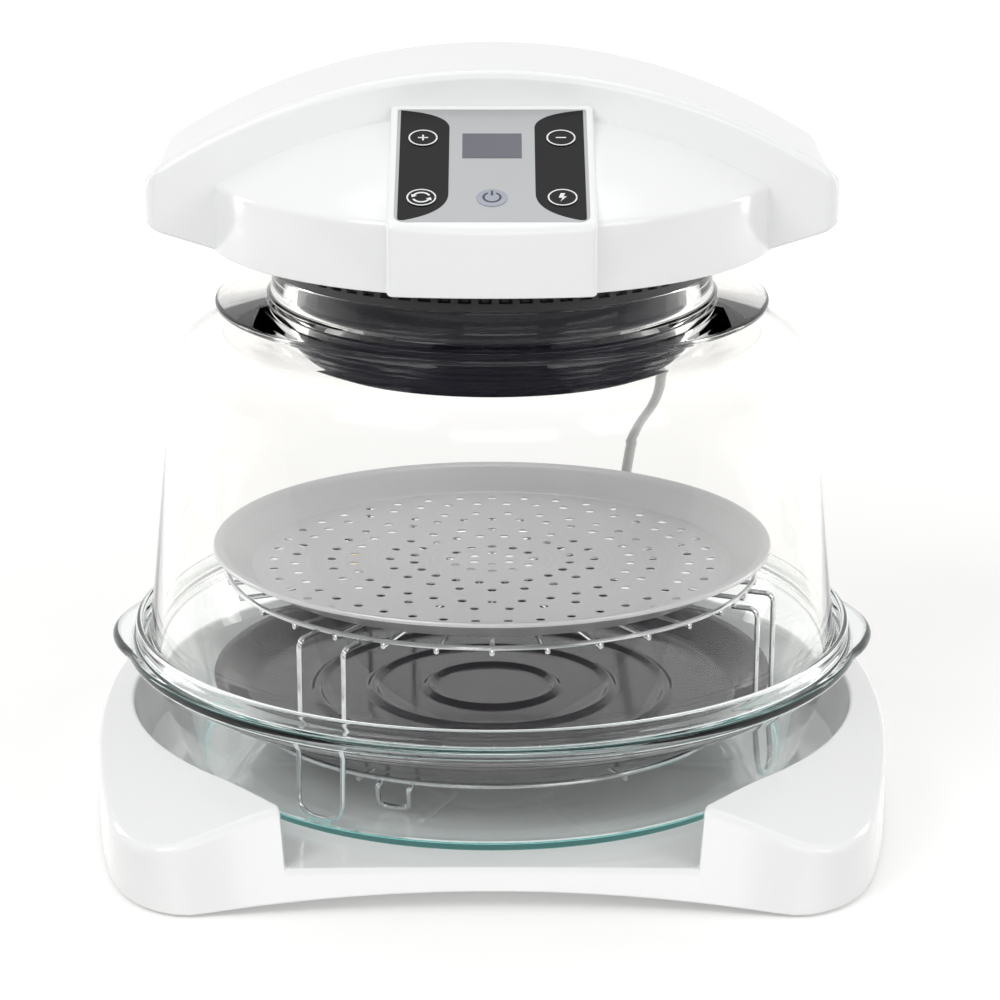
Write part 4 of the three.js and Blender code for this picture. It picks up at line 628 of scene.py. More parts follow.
def ring_path(radius, z, steps=120):
    angle = 2 * pi * np.arange(steps) / steps
    return np.stack([radius * np.cos(angle), radius * np.sin(angle), z + 0 * angle], -1)


def leg_path(angle, start_radius, top_z, drop_radius, low_z, width, lean, twist):
    """A U of wire: out from under the ring, down, across the floor in a wide bend and back up. Its foot
    leans inwards, in a direction turned from the radius by the twist."""
    radial, side = np.array([cos(angle), sin(angle), 0]), np.array([-sin(angle), cos(angle), 0])
    foot = radial * drop_radius - lean * np.array([cos(angle + twist), sin(angle + twist), 0]) + [0, 0, low_z]
    start, drop = radial * start_radius + [0, 0, top_z], radial * drop_radius + [0, 0, top_z]
    corners = [place + side * s * width / 2 for s, place in
               ((-1, start), (-1, drop), (-1, foot), (1, foot), (1, drop), (1, start))]
    foot_bend = 0.9 * width / 2
    return eased(corners, [0, 5, foot_bend, foot_bend, 5, 0], steps=8)


def weld_beads(radius, z, angles, size=1.6):
    """Small flattened beads of metal where a spoke meets the ring."""
    outline = np.array([[0, -0.8], [0.8, -0.6], [1, 0], [0.8, 0.6], [0, 0.8]]) * size
    bead = turned(outline, 10)
    faces = turned_faces(outline, 10)
    return [(bead + [radius * cos(a), radius * sin(a), z], faces) for a in angles]


chrome = finish("chrome_wire", (0.62, 0.63, 0.64), cloud=0.08, cloud_scale=60, roughness=0.16, spread=0.12,
                grain_scale=700, grain=0.05, Metallic=1)
wire_radius = 1.4
dish_floor_z = 28.3
rack_floor_z = dish_floor_z + clearance + wire_radius


def rack_legs(turn_shares, drop_radius, ring_z, width, lean=0, twist=0):
    """One leg at each share of a turn, counted from the front."""
    angles = 2 * pi * np.array(turn_shares) - pi / 2
    return [swept(leg_path(a, drop_radius - 14, ring_z - 2, drop_radius, rack_floor_z, width, lean, twist),
                  wire_radius) for a in angles]


def rack_spokes(inner, outer, z, count):
    angles = 2 * pi * np.arange(count) / count
    middle = (inner + outer) / 2
    return [swept([[r * cos(a), r * sin(a), z] for r in (inner, middle, outer)], wire_radius, sides=8)
            for a in angles]


low_ring, low_ring_z = 138, 50
low_rack = gathered([
    swept(ring_path(low_ring, low_ring_z), wire_radius, closed=True),
    swept(ring_path(40, low_ring_z, 48), wire_radius, closed=True),
    *rack_spokes(38.5, low_ring, low_ring_z - 2.7, 6),
    *rack_legs((-0.0578, 0.2755, 0.6089), low_ring + 5, low_ring_z, 17, lean=20, twist=radians(20))])
piece("low_rack_wires", *low_rack, chrome, "low_rack", "chrome_wire", ["low_rack"])


# Drip pan: a shallow steel pressing, glossy dark enamel, with three raised rings in its floor and a lip.
def turning_group():
    """Node group: fine rings round the Z axis, as a lathe or a spinning buff leaves them: noise of the
    radius. It puts out a mask and a normal."""
    group, given, out = new_group("turning_marks", {"Fineness": "Float", "Strength": "Float"},
                                  {"Mask": "Float", "Normal": "Vector"})
    radius = height_and_radius(group)[1]
    noise = put(group, "TexNoise", {"W": radius, "Scale": given["Fineness"], "Detail": 4},
                noise_dimensions="1D").outputs["Fac"]
    bump = put(group, "Bump", {"Distance": 0.0002, "Strength": given["Strength"], "Height": noise})
    group.links.new(noise, out["Mask"])
    group.links.new(bump.outputs["Normal"], out["Normal"])
    return group


turning_marks = turning_group()


def with_turning(material, fineness, strength, low, high):
    """Lays turning marks over a finish. Their mask slides the colour between two tones, and they bend the
    normal."""
    tree = material.node_tree
    marks = put(tree, "Group", {"Fineness": fineness, "Strength": strength}, node_tree=turning_marks)
    mix = put(tree, "Mix", {"Factor": marks.outputs["Mask"], "A": (*low, 1), "B": (*high, 1)},
              data_type="RGBA")
    tree.links.new(mix.outputs["Result"], tree.nodes["skin"].inputs["Colour"])
    tree.links.new(marks.outputs["Normal"], tree.nodes["Principled BSDF"].inputs["Normal"])
    return material


enamel = finish("pan_enamel", (0.024, 0.02, 0.027), cloud=0.08, cloud_scale=12, roughness=0.1, spread=0.04,
                grain=0, Specular_IOR_Level=0.3)


def rib_lift(radius, places, width, height):
    """Height of raised rings: a cosine hump of the given width at each place."""
    apart = (radius[:, None] - np.asarray(places)[None, :]) / (width / 2)
    return (height * np.where(np.abs(apart) < 1, 0.5 + 0.5 * np.cos(pi * apart), 0)).sum(1)


pan_bottom, pan_rim, pan_floor, pan_depth = 51.8, 154, 134, 14
pan_radius = np.arange(0, pan_floor - 4, 1)
pan_ribs = rib_lift(pan_radius, (35, 66, 97), 9, 2.4)
pan_wall = eased([[pan_floor - 4, 0], [pan_floor, 0], [pan_rim - 4, pan_depth - 1], [pan_rim, pan_depth - 1]],
                 [0, 3, 2, 0])
pan_under = np.vstack([np.stack([pan_radius, pan_ribs], -1), pan_wall])
pan_over = np.vstack([np.stack([pan_radius, pan_ribs + 1], -1), pan_wall + [-0.6, 1]])
pan_over[-1] = [pan_rim, pan_depth]
pan_outline = np.vstack([pan_under, pan_over[::-1]]) + [0, pan_bottom]
turned_piece("drip_pan_pressing", pan_outline, 144, enamel, "pan", "enamel", ["drip_pan"], sharp=60)

# High rack: two chromed rings on 32 straight spokes, welded under the outer ring with a bead each,
# and three tall legs that stand on the dish's floor.
high_ring, high_ring_z, high_spokes = 144.6, 125.5, 32
spoke_angles = 2 * pi * np.arange(high_spokes) / high_spokes
high_rack = gathered([
    swept(ring_path(high_ring, high_ring_z, 180), wire_radius, closed=True),
    swept(ring_path(30, high_ring_z, 48), wire_radius, closed=True),
    *rack_spokes(28.5, high_ring + 0.8, high_ring_z - 2.6, high_spokes),
    *weld_beads(high_ring, high_ring_z - 1.6, spoke_angles)])
piece("high_rack_wires", *high_rack, chrome, "high_rack", "chrome_wire", ["high_rack"])
high_legs = rack_legs((-0.0938, 0.1875, 0.5625), 157.2, high_ring_z - 0.9, 28)
for number, leg in enumerate(high_legs, 1):
    piece(f"high_rack_leg_wire_{number}", *leg, chrome, "high_rack", "chrome_wire",
          [f"high_rack_leg_{number}"])

# Perforated tray: pressed aluminium with a matt silver coat, rings of punched holes in its floor and a lip.
tray_coat = with_turning(
    finish("tray_coat", (0.57, 0.57, 0.58), cloud=0.05, cloud_scale=25, roughness=0.4, spread=0.08,
           Metallic=0.45),
    420, 0.04, (0.54, 0.54, 0.55), (0.61, 0.61, 0.62))
tray_bottom, tray_rim, tray_floor, tray_depth = 127.3, 152.5, 132, 14.4
hole_rings = ((11, 6), (23, 12), (43, 20), (56, 20), (76, 30), (88, 30), (108, 40), (120, 40))
hole_radius = 2.6
round_steps = 240


def arc_band(inner, outer, z):
    """A flat band between two circles, on the same divisions as the tiles."""
    points = np.stack([ring_path(inner, z, round_steps), ring_path(outer, z, round_steps)])
    return points, grid_faces(2, round_steps)


def hole_band(inner, outer, ring, count, shift, z):
    """A band of tiles with a round hole in each: the loop of a tile's edge joins the loop of its hole,
    point to point. The edge's points lie on the shared divisions of the two circles and on the tile's two
    sides."""
    per_tile = round_steps // count
    start = (np.arange(count) * per_tile + shift)[:, None]
    along = np.arange(per_tile + 1)
    outer_turn = (start + along)[:, ::-1] * 2 * pi / round_steps
    inner_turn = (start + along) * 2 * pi / round_steps
    side_share = np.linspace(0, 1, 5)[1:-1]
    side_r = inner + (outer - inner) * side_share
    turn = np.concatenate([inner_turn, np.repeat(inner_turn[:, -1:], 3, 1), outer_turn,
                           np.repeat(outer_turn[:, -1:], 3, 1)], 1)
    radius = np.concatenate([np.full(per_tile + 1, inner), side_r, np.full(per_tile + 1, outer), side_r[::-1]])
    edge = np.stack([radius * np.cos(turn), radius * np.sin(turn)], -1)
    middle_turn = (start[:, 0] + per_tile / 2) * 2 * pi / round_steps
    middle = ring * np.stack([np.cos(middle_turn), np.sin(middle_turn)], -1)[:, None]
    away = edge - middle
    hole = middle + hole_radius * away / np.linalg.norm(away, axis=2)[..., None]
    points = np.stack([edge, hole], 1)
    points = np.concatenate([points, np.full((*points.shape[:3], 1), z)], -1)
    loop = points.shape[2]
    faces = grid_faces(2, loop)[None] + (np.arange(count) * 2 * loop)[:, None, None]
    return points.reshape(-1, 3), faces.reshape(-1, 4)


tray_parts, edge = [arc_band(0, 4, 0)], 4
for i, (ring, count) in enumerate(hole_rings):
    following = hole_rings[i + 1][0] if i + 1 < len(hole_rings) else 2 * tray_floor - 2 - ring
    outer = (ring + following) / 2
    shift = (round_steps // count) // 2 if i % 2 else 0
    tray_parts.append(hole_band(edge, outer, ring, count, shift, 0))
    edge = outer
tray_wall = eased([
    [edge, 0], [tray_floor, 0], [tray_rim - 5, tray_depth - 1.6], [tray_rim - 2, tray_depth - 0.7],
    [tray_rim - 0.7, tray_depth - 0.9], [tray_rim - 0.6, tray_depth - 2.6]], [0, 3, 1.5, 1, 0.8, 0])
tray_parts.append((turned(tray_wall, round_steps), turned_faces(tray_wall, round_steps)))
tray_points, tray_faces = gathered(tray_parts)
tray = piece("tray_pressing", tray_points + [0, 0, tray_bottom], tray_faces, tray_coat, "tray", "tray_coat",
             ["perforated_tray"], sharp=40)
punched = bmesh.new()
punched.from_mesh(tray.data)
for open_edge in punched.edges:
    if open_edge.is_boundary:
        open_edge.smooth = False
punched.to_mesh(tray.data)
punched.free()
sheet = tray.modifiers.new("sheet", "SOLIDIFY")
sheet.thickness = 0.6 * mm
sheet.offset = 1

# Dome: blown and pressed heat-proof glass, which stands on the dish's ledge. Its wall leans in to a round
# shoulder, and a neck above it carries a wide flat grip ring and the collar that the heater hangs in.
dome_glass = glass("dome_glass", (0.995, 0.995, 0.99), (0.98, 0.985, 0.98), 0.092, 0.186,
                   (0.99, 0.98, 0.945), 0.3, roughness=0.0, ior=1.3)
dome_foot, dome_bottom = 188.5, 85.3


shoulder_r, shoulder_z, roof_r, roof_z_top = 172.6, 238, 148, 266
outer_shoulder = bend_points([shoulder_r, shoulder_z], [170.4, 261.5], [roof_r, roof_z_top])
inner_shoulder = bend_points([roof_r - 2.2, roof_z_top - 4.5], [165.9, 257], [shoulder_r - 4.5, shoulder_z])
dome_outline = np.vstack([
    eased([[dome_foot - 4.5, dome_bottom], [dome_foot + 1.2, dome_bottom], [dome_foot + 1.2, dome_bottom + 5],
           [dome_foot - 0.5, dome_bottom + 7], [dome_foot - 1, dome_bottom + 10]], [0, 1.2, 1.2, 1, 0]),
    outer_shoulder,
    eased([[140, 267.3], [118, 268.3], [118, 275.8], [148.5, 274.2], [148.5, 277.6], [118, 281.4], [118, 295],
           [114.3, 295], [114.3, 263.8], [136, 262.9]], [0, 4, 2, 2.2, 2.2, 3, 1.6, 1.6, 3, 0]),
    inner_shoulder])
turned_piece("dome_shell", dome_outline, 192, dome_glass, "dome", "clear_glass", ["glass_dome"], closed=True,
             sharp=50)

# Heater: a black enamelled steel drum that hangs from the head into the dome's collar, closed below by a
# slotted guard. In it are the reflector, insulation, a ring-shaped halogen lamp in two ceramic holders and
# the fan.
dark_steel = finish("heater_black", (0.011, 0.011, 0.017), cloud=0.2, cloud_scale=14, roughness=0.2,
                    spread=0.08, grain=0, Specular_IOR_Level=0.06)
bright_steel = finish("bright_steel", (0.7, 0.7, 0.7), cloud=0.1, cloud_scale=50, roughness=0.28, spread=0.15,
                      grain_scale=900, grain=0.1, Metallic=1)
housing_outline = eased([[98, 249], [106, 249], [106, 305.4], [104.8, 305.4], [104.8, 250.2], [98, 250.2]],
                        [0.4, 3, 0.4, 0.4, 2, 0.4], closed=True)
turned_piece("heater_drum", housing_outline, 128, dark_steel, "head", "dark_steel", ["heater_housing"],
             closed=True, sharp=50)

# Vent ring: black plastic between the collar and the head, with a row of fine upright slots that let hot
# air out.
black_plastic = finish("black_plastic", (0.02, 0.02, 0.022), cloud=0.2, cloud_scale=40, roughness=0.4,
                       spread=0.1, grain_scale=900, grain=0.15)
slot_count = 72
vent_columns = slot_count * 6
vent_wave = np.tile([0, 0, 0, 1, 1, 1], slot_count)[None, :, None]
vent_outer, slot_depth = 119.7, 2.6
vent_outline = eased([
    [112.7, 295.3], [vent_outer, 295.3], [vent_outer, 299.6], [vent_outer, 299.8], [vent_outer, 308.8],
    [vent_outer, 309], [vent_outer, 310.2], [104.5, 310.2], [104.5, 305.7], [112.7, 305.7]],
    [0.5, 0.8, 0, 0, 0, 0, 0.5, 0.5, 0.4, 0.4], closed=True)
vent_points = turned(vent_outline, vent_columns)
vent_radius, vent_height = vent_outline.T
in_slot = ((vent_height > 299.7) & (vent_height < 308.9) & (vent_radius > 119))[:, None, None]
pulled = 1 - in_slot * vent_wave * slot_depth / vent_outer
vent_points = vent_points * np.concatenate([pulled, pulled, np.ones_like(pulled)], -1)
piece("vent_grille", vent_points, turned_faces(vent_outline, vent_columns, closed=True), black_plastic, "head",
      "black_plastic", ["vent_ring"])

# Head cover: two glossy white ABS mouldings. A wide band, arched like a wing and cut off square at its
# tips, lies over a round body with an upright skirt and a low crown.
skirt_low, band_peak, arch_radius, band_half_length, band_half_depth = 310.6, 406, 320, 181, 49


def rounded_loop(half_depth, low, high, round_high, round_low, steps=5):
    """A rectangle in depth and height with rounded corners, as [depth, height] pairs, the same count for
    any size."""
    corners = [[-half_depth, low], [half_depth, low], [half_depth, high], [-half_depth, high]]
    return eased(corners, [round_low, round_low, round_high, round_high], steps=steps, closed=True)


tip_corner, tip_rise, tip_run, tip_lift = 9, 12.4, 40, 2.6
tip_stations = tip_corner * (1 - np.cos(np.linspace(0, pi / 2, 9)))
band_stations = np.concatenate([
    -band_half_length + tip_stations, np.linspace(-168, 168, 67), (band_half_length - tip_stations)[::-1]])


def band_section(x):
    """The band's section at x: the top follows the arch, the underside rises 12.4 mm over the last 40 mm to
    the tip, and the depth draws in round each tip's upright corner on a circle of the corner's radius."""
    top = band_peak - arch_radius + sqrt(arch_radius**2 - x**2)
    beyond = max(0, abs(x) - (band_half_length - tip_run))
    low = skirt_low + tip_rise * beyond / tip_run
    corner = max(0, abs(x) - (band_half_length - tip_corner))
    draw = tip_corner - sqrt(max(tip_corner**2 - corner**2, 0))
    lift = tip_lift * (corner / tip_corner)**2
    loop = rounded_loop(band_half_depth - draw, low + lift, top - lift, 5, 2.5)
    return np.concatenate([np.full((len(loop), 1), x), loop], 1)


band_rows = np.array([band_section(x) for x in band_stations])
tip_middles = [np.broadcast_to(rows.mean(0), rows.shape)[None] for rows in (band_rows[0], band_rows[-1])]
band_points = np.concatenate([tip_middles[0], band_rows, tip_middles[1]])
band_faces = grid_faces(len(band_points), band_points.shape[1])
band = piece("head_band", band_points, band_faces, white_plastic, "head", "white_plastic", ["head_cover"],
             sharp=50)
evened(band)

console_half, console_front, console_bow, console_back = 52, 155.5, 2, 49.3
panel_low_y, panel_low_z, panel_rise, panel_run = 150, 348, 38.5, 97


def console_height(y):
    """Height of the console's sloping face at a given y."""
    return panel_low_z + (y + panel_low_y) * panel_rise / panel_run


body_radius, skirt_top, crown_height = 152, 346, 43
crown_radius = (body_radius**2 + crown_height**2) / (2 * crown_height)
crown_angle = np.linspace(asin(body_radius / crown_radius), 0, 40)
crown = np.stack([crown_radius * np.sin(crown_angle),
                  skirt_top + crown_height - crown_radius * (1 - np.cos(crown_angle))], -1)
body_outline = np.vstack([
    [[0, skirt_low]], eased([[146, skirt_low], [body_radius, skirt_low], [body_radius, skirt_top], crown[2]],
                            [0, 1, 3, 0]), crown[3:]])
body_points = turned(body_outline, 180)
under_console = (np.abs(body_points[..., 0]) < console_half) & (body_points[..., 1] < -console_back)
hidden_height = np.minimum(body_points[..., 2], console_height(body_points[..., 1]) - 1.5)
body_points[..., 2] = np.where(under_console, hidden_height, body_points[..., 2])
piece("head_round_body", body_points, turned_faces(body_outline, 180), white_plastic, "head", "white_plastic",
      ["head_lower_cover"], sharp=50)

# Console: a separate white moulding on the head's front, with a bowed front wall and a sloping face for the
# panel.
console_flat = console_half - 9
console_x = np.concatenate([[-console_half], np.linspace(-console_flat, console_flat, 21), [console_half]])
console_fronts = -console_front + 2 * console_bow * (console_x / console_half)**2


def console_line(y, z):
    return np.stack([console_x, y + 0 * console_x, z + 0 * console_x], -1)


console_loop = np.array([
    console_line(console_fronts, skirt_low), console_line(console_fronts, console_height(console_fronts)),
    console_line(-console_back, console_height(-console_back)), console_line(-console_back, skirt_low)])
console_loop = eased(console_loop, [1.2, 4, 0.6, 0.6], steps=6, closed=True).swapaxes(0, 1)
side_middles = [np.broadcast_to(loop.mean(0), loop.shape)[None] for loop in (console_loop[0], console_loop[-1])]
console_points = np.concatenate([side_middles[0], console_loop, side_middles[1]])
side_reach = np.zeros(len(console_points))
side_reach[[1, -2]] = 3.5
console_points = eased(console_points, side_reach, steps=6)
console = piece("console_moulding", console_points, grid_faces(len(console_points), console_points.shape[1]),
                white_plastic, "head", "white_plastic", ["console_housing"], sharp=180)
evened(console)

# Control panel: a printed film on a thin plate, let into the console's face. It is silver in the middle,
# with two glossy black fields at the sides that carry two keys each.
panel_slope = np.arctan2(panel_rise, panel_run)
panel_length = hypot(panel_rise, panel_run)
panel_centre = np.array([0, -panel_low_y + panel_run / 2, panel_low_z + panel_rise / 2])


def on_panel(points):
    """Panel coordinates (right, up the slope, out of the face) turned into the oven's frame."""
    points = np.asarray(points, float)
    up = np.array([0, cos(panel_slope), sin(panel_slope)])
    out = np.array([0, -sin(panel_slope), cos(panel_slope)])
    return panel_centre + points[..., :1] * [1, 0, 0] + points[..., 1:2] * up + points[..., 2:] * out


def slab(outline, low, high, edge=0.25):
    """A flat plate of the given outline: rows for its underside, side, eased edge and top, with the middle
    filled."""
    outline = np.asarray(outline, float)
    middle = outline.mean(0)
    shrunk = outline + (middle - outline) * (edge / np.linalg.norm(outline - middle, axis=1))[:, None]
    core = middle + 0 * outline
    rows = [(core, low), (outline, low), (outline, high - edge), (shrunk, high), (core, high)]
    points = np.array([np.concatenate([xy, np.full((len(xy), 1), z)], 1) for xy, z in rows])
    return points, grid_faces(len(rows), len(outline))


def lined(outline, spacing=1.5):
    """An outline with points added along its sides, so that a fan from its middle stays even."""
    outline = np.asarray(outline, float)
    after = np.roll(outline, -1, axis=0)
    parts = []
    for a, b in zip(outline, after):
        count = max(1, int(np.linalg.norm(b - a) / spacing))
        parts.append(a + (b - a) * (np.arange(count) / count)[:, None])
    return np.vstack(parts)


film_silver = finish("panel_film", (0.42, 0.43, 0.44), cloud=0.05, cloud_scale=30, roughness=0.32, spread=0.06,
                     grain_scale=1200, grain=0.06, Metallic=0.35)
film_black = finish("panel_black", (0.01, 0.01, 0.011), cloud=0.1, cloud_scale=30, roughness=0.2, spread=0.05,
                    grain_scale=700, grain=0.03, Specular_IOR_Level=0.1)
print_white = finish("panel_print", (0.8, 0.81, 0.82), cloud=0.04, cloud_scale=200, roughness=0.4, spread=0.05,
                     grain_scale=900, grain=0.05)
half_w, half_l = 48.5, panel_length / 2
plate = eased([[-half_w, -half_l], [half_w, -half_l], [half_w, half_l], [-half_w, half_l]], [6, 6, 1.5, 1.5],
              closed=True)
plate_points, plate_faces = slab(lined(plate), -0.9, 0.14)
piece("panel_plate", on_panel(plate_points), plate_faces, film_silver, "head", "silver_film",
      ["control_overlay"])


def side_field(side):
    """Black field at one side of the panel: straight along the panel's edge and inside, with a full quarter
    bend between them at the top and at the foot."""
    top, low, inside, outside = half_l - 1, 1.6 - half_l, 21.6, half_w - 1.8
    inner = np.vstack([bend_points([outside, top], [inside + 1.5, top - 3.5], [inside, top - 16], 14),
                       bend_points([inside, low + 24], [inside, low + 7], [outside - 3, low], 14)])
    outer = eased([[outside - 3, low], [outside, low], [outside, top]], [0, 2.6, 0])[1:-1]
    return np.vstack([inner, outer]) * [side, 1]


for name, side in (("left", -1), ("right", 1)):
    field_points, field_faces = slab(lined(side_field(side), 1), 0.05, 0.18, edge=0.06)
    piece(f"panel_field_{name}", on_panel(field_points), field_faces, film_black, "head", "silver_film")


# Keys: four round black caps in the side fields, each with a printed white ring and a plain sign, and a
# round blue-grey start key in the middle. Each moves by itself.
def ring_print(radius, width, start=0.0, turn=1.0, steps=64):
    """A flat arc of the given width, drawn as a strip of quads, with its edges at radius +- width / 2."""
    angle = 2 * pi * (start + turn * np.linspace(0, 1, steps + 1))
    way = np.stack([np.cos(angle), np.sin(angle)], -1)
    inner, outer = way * (radius - width / 2), way * (radius + width / 2)
    return np.stack([inner, outer], 1)


def printed(strip, z, thickness=0.06):
    """A strip of [inner, outer] points as a thin closed plate."""
    rows = [(strip[:, 0], z), (strip[:, 1], z), (strip[:, 1], z + thickness), (strip[:, 0], z + thickness)]
    points = np.array([np.concatenate([xy, np.full((len(xy), 1), h)], 1) for xy, h in rows])
    ends = np.array([[0, len(strip), 2 * len(strip), 3 * len(strip)],
                     [len(strip) - 1, 4 * len(strip) - 1, 3 * len(strip) - 1, 2 * len(strip) - 1]])
    return points, np.vstack([grid_faces(4, len(strip), rows_closed=True, columns_closed=False), ends])


def bar(x0, y0, x1, y1, width):
    """A straight strip from one point to another."""
    a, b = np.array([x0, y0], float), np.array([x1, y1], float)
    across = np.array([-(b - a)[1], (b - a)[0]]) / np.linalg.norm(b - a) * width / 2
    return np.array([[a - across, a + across], [b - across, b + across]])


def arrow_head(angle, radius, size):
    """A triangle that points along the circle at the given angle."""
    centre = radius * np.array([cos(angle), sin(angle)])
    along, out = np.array([-sin(angle), cos(angle)]), np.array([cos(angle), sin(angle)])
    tip = centre + along * size
    return np.array([[centre - out * size * 0.7, centre + out * size * 0.7], [tip, tip]])


key_signs = {
    "plus": [bar(-2.6, 0, 2.6, 0, 0.9), bar(0, -2.6, 0, 2.6, 0.9)],
    "minus": [bar(-2.6, 0, 2.6, 0, 0.9)],
    "mode": [ring_print(4.2, 1.1, 0.06, 0.36), ring_print(4.2, 1.1, 0.56, 0.36),
             arrow_head(2 * pi * 0.42, 4.2, 2.3), arrow_head(2 * pi * 0.92, 4.2, 2.3)],
    "turbo": [np.array([[[1.4, 3.6], [-0.9, 3.6]], [[0.3, 0.8], [-2, -0.4]]]),
              np.array([[[-2, -0.4], [0.3, 0.9]], [[0.1, -0.6], [2.2, 0.8]]]),
              np.array([[[2.2, 0.9], [0, -0.4]], [[-1.2, -3.8], [-1.2, -3.8]]])],
}
key_side, key_upper, key_lower = 35, 24.18, -30.82
key_places = {"plus": (-key_side, key_upper), "minus": (key_side, key_upper), "mode": (-key_side, key_lower),
              "turbo": (key_side, key_lower), "start": (0, key_lower)}
key_radius, key_top = 7.7, 0.7
key_outline = np.vstack([
    [[0, -4.9], [1.6, -4.9], [1.6, -0.7]],
    eased([[1.6, -0.7], [key_radius, -0.7], [key_radius, key_top - 0.15], [key_radius - 2, key_top],
           [0, key_top]], [0, 0.2, 0.25, 0.5, 0])[1:]])
start_blue = finish("start_key", (0.33, 0.35, 0.41), cloud=0.08, cloud_scale=60, roughness=0.22, spread=0.06,
                    grain_scale=900, grain=0.05)
for name, (x, y) in key_places.items():
    material = start_blue if name == "start" else film_black
    shape = turned(key_outline, 48) + [x, y, 0]
    piece(f"key_cap_{name}", on_panel(shape), turned_faces(key_outline, 48), material, f"{name}_key",
          "black_plastic", [f"key_{name}"])
for name, strips in key_signs.items():
    x, y = key_places[name]
    prints = [printed(ring_print(7, 0.8), key_top - 0.02)] + [printed(s, key_top - 0.01) for s in strips]
    points, faces = gathered(prints)
    piece(f"key_sign_{name}", on_panel(points + [x, y, 0]), faces, print_white, f"{name}_key", "black_plastic")
power_dark = finish("power_sign", (0.02, 0.025, 0.05), cloud=0.1, cloud_scale=60, roughness=0.3, spread=0.05)
power_points, power_faces = gathered([
    printed(ring_print(4.2, 1.2, 0.33, 0.84), key_top - 0.01),
    printed(bar(0, 1.6, 0, 5.8, 1.2), key_top - 0.005)])
piece("key_sign_start", on_panel(power_points + [*key_places["start"], 0]), power_faces, power_dark,
      "start_key", "black_plastic")

# Display: a grey-blue liquid crystal window, set into the silver plate.
lcd = finish("lcd_window", (0.155, 0.155, 0.185), cloud=0.15, cloud_scale=26, roughness=0.16, spread=0.04,
             grain_scale=1500, grain=0.02, Specular_IOR_Level=0.12)
window_half, window_low, window_high = 15, 5.68, 28.68
window = lined([[-window_half, window_low], [window_half, window_low], [window_half, window_high],
                [-window_half, window_high]])
window_points, window_faces = slab(window, -0.9, 0.42, edge=0.2)
piece("display_glass", on_panel(window_points), window_faces, lcd, "head", "lcd_glass", ["display_window"])

# Inner works: the motor, fans, lamp, wiring and boards keep their solids' shapes and get their own
# finishes.
quartz = glass("lamp_quartz", (0.97, 0.97, 0.97), (0.97, 0.97, 0.97), 0.2, 0.3, (0.85, 0.86, 0.88), 0.3)
ceramic = finish("ceramic", (0.72, 0.7, 0.64), cloud=0.15, cloud_scale=90, roughness=0.6, grain_scale=700,
                 grain=0.3)
wool = finish("wool_board", (0.5, 0.47, 0.4), cloud=0.35, cloud_scale=120, roughness=0.9, grain_scale=500,
              grain=0.9)
board = finish("board_green", (0.02, 0.12, 0.05), cloud=0.3, cloud_scale=70, roughness=0.45, grain_scale=900,
               grain=0.2)
copper = finish("copper_wire", (0.6, 0.25, 0.1), cloud=0.3, cloud_scale=160, roughness=0.35, grain_scale=1200,
                grain=0.6, Metallic=1)
slot_finishes = dict(
    white_plastic=white_plastic, black_plastic=black_plastic, clear_glass=dome_glass, dish_glass=dish_glass,
    chrome_wire=chrome, enamel=enamel, tray_coat=tray_coat, silver_film=film_silver, lcd_glass=lcd,
    dark_steel=dark_steel, bright_steel=bright_steel, quartz=quartz, ceramic_white=ceramic, wool_board=wool,
    board_green=board, copper_wire=copper, grey_rubber=rubber, cord_grey=cord_grey, brass_pin=brass)
for part in frame["record"]["subparts"]:
    solid = frame["nodes"][part["node"]]
    solid.data.materials.clear()
    solid.data.materials.append(slot_finishes[part["material_slot"]])

# Stage: a plain white floor that keeps the oven's soft shadow, a white surround, and six soft studio lamps.
floor_mesh = bpy.data.meshes.new("floor")
floor_mesh.from_pydata([(-6, -0.8, 0), (6, -0.8, 0), (6, 8, 0), (-6, 8, 0)], [], [(0, 1, 2, 3)])
floor = bpy.data.objects.new("floor", floor_mesh)
scene.collection.objects.link(floor)
floor_white = bpy.data.materials.new("floor_white")
floor_white.use_nodes = True
floor_tree = floor_white.node_tree
floor_shader = floor_tree.nodes["Principled BSDF"]
for socket, value in (("Base Color", (0.76, 0.755, 0.745, 1)), ("Roughness", 0.9), ("Specular IOR Level", 0),
                      ("Emission Color", (1, 1, 1, 1))):
    floor_shader.inputs[socket].default_value = value


def shown(tree, depth, near, far, lit, dim, full):
    """Brightness by kind of ray: the lit value for light that falls on surfaces, and full for camera and
    transmission rays. What was mirrored on the way sees the white sweep behind the oven in full and the
    room in front of it dimmed, by a smooth step of the depth between near and far."""
    rays = put(tree, "LightPath").outputs
    straight = put(tree, "Math", {0: rays["Is Camera Ray"], 1: rays["Is Transmission Ray"]},
                   operation="MAXIMUM")
    sweep = put(tree, "MapRange", {"Value": depth, "From Min": near, "From Max": far, "To Min": dim,
                                   "To Max": full}, interpolation_type="SMOOTHSTEP")
    seen = put(tree, "Mix", {"Factor": straight.outputs[0], "A": lit, "B": full})
    mirrored = put(tree, "Mix", {"Factor": rays["Glossy Depth"], "A": seen.outputs["Result"],
                                 "B": sweep.outputs["Result"]})
    return mirrored.outputs["Result"]


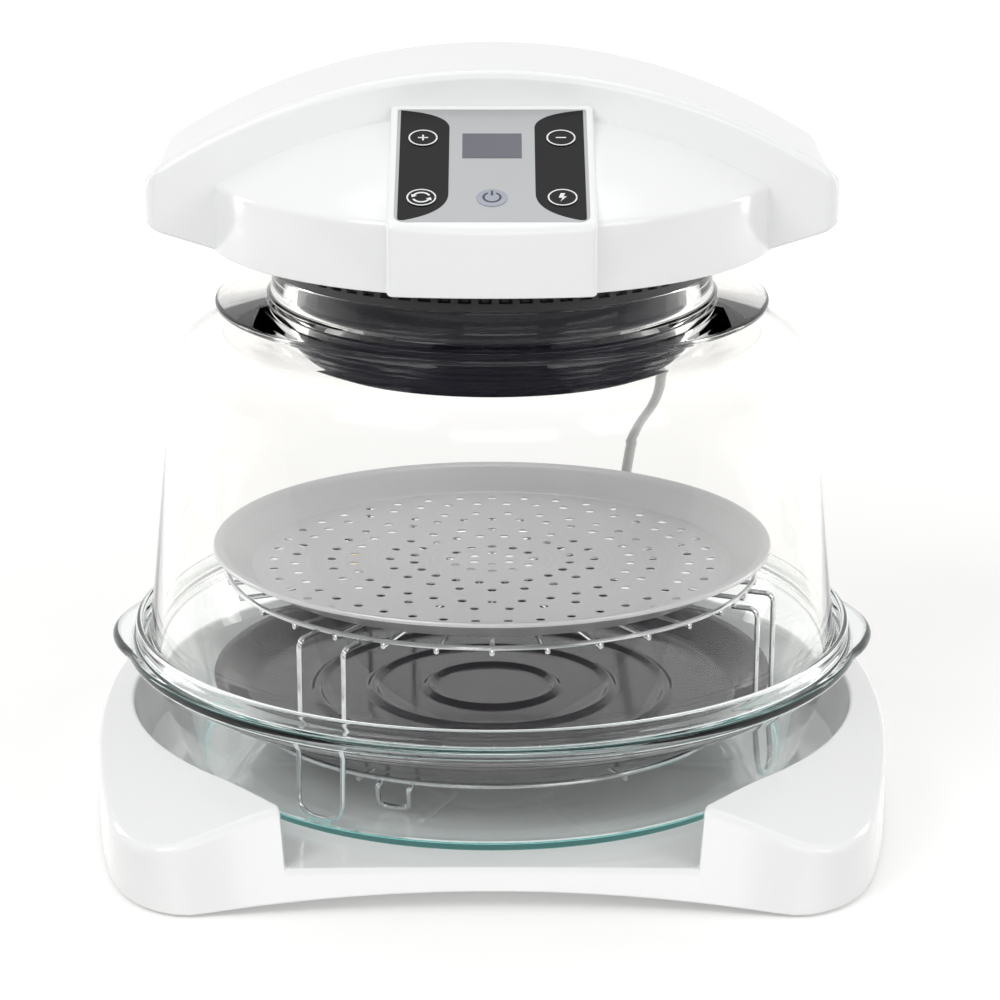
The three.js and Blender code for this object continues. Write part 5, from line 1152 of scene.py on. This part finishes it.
floor_place = put(floor_tree, "TexCoord").outputs["Object"]
floor_depth = put(floor_tree, "SeparateXYZ", {0: floor_place}).outputs["Y"]
floor_away = put(floor_tree, "VectorMath", {0: floor_place}, operation="LENGTH")
floor_fill = put(floor_tree, "MapRange", {
    "Value": floor_away.outputs["Value"], "From Min": 0.5, "From Max": 2.2, "To Min": 0.32, "To Max": 0.75},
    interpolation_type="SMOOTHSTEP")
floor_tree.links.new(shown(floor_tree, floor_depth, -0.6, 0, 0, 0.25, floor_fill.outputs["Result"]),
                     floor_shader.inputs["Emission Strength"])
floor_mesh.materials.append(floor_white)

world = bpy.data.worlds.new("surround")
world.use_nodes = True
scene.world = world
surround = world.node_tree.nodes["Background"]
surround.inputs["Color"].default_value = (1, 1, 1, 1)
way = put(world.node_tree, "TexCoord").outputs["Generated"]
way_depth = put(world.node_tree, "SeparateXYZ", {0: way}).outputs["Y"]
world_light = shown(world.node_tree, way_depth, -0.6, 0.3, 0.5, 0.4, 1.0)
world.node_tree.links.new(world_light, surround.inputs["Strength"])


def lamp(name, place, aim, width, height, power):
    """A soft rectangular lamp at a place, in metres, turned to a point."""
    light = bpy.data.lights.new(name, "AREA")
    light.shape = "RECTANGLE"
    light.size, light.size_y, light.energy = width, height, power
    holder = bpy.data.objects.new(name, light)
    way = np.array(aim, float) - np.array(place, float)
    flat = hypot(way[0], way[1])
    holder.location = place
    holder.rotation_euler = (np.arctan2(flat, -way[2]), 0, np.arctan2(way[1], way[0]) - pi / 2)
    scene.collection.objects.link(holder)


lamp("key_lamp", (-1.6, -1.7, 2.1), (0, 0, 0.2), 1.6, 1.2, 28)
lamp("fill_lamp", (2.0, -1.7, 1.4), (0, 0, 0.2), 1.4, 1.4, 16)
lamp("front_lamp", (0.2, -2.7, 1.0), (0, 0, 0.2), 1.8, 0.9, 9)
lamp("top_lamp", (0, 0.3, 2.4), (0, 0, 0.2), 1.8, 1.8, 9)
lamp("left_strip", (-1.5, 0.75, 0.55), (0, 0, 0.25), 0.22, 1.0, 3.5)
lamp("right_strip", (1.5, 0.75, 0.55), (0, 0, 0.25), 0.22, 1.0, 3.5)
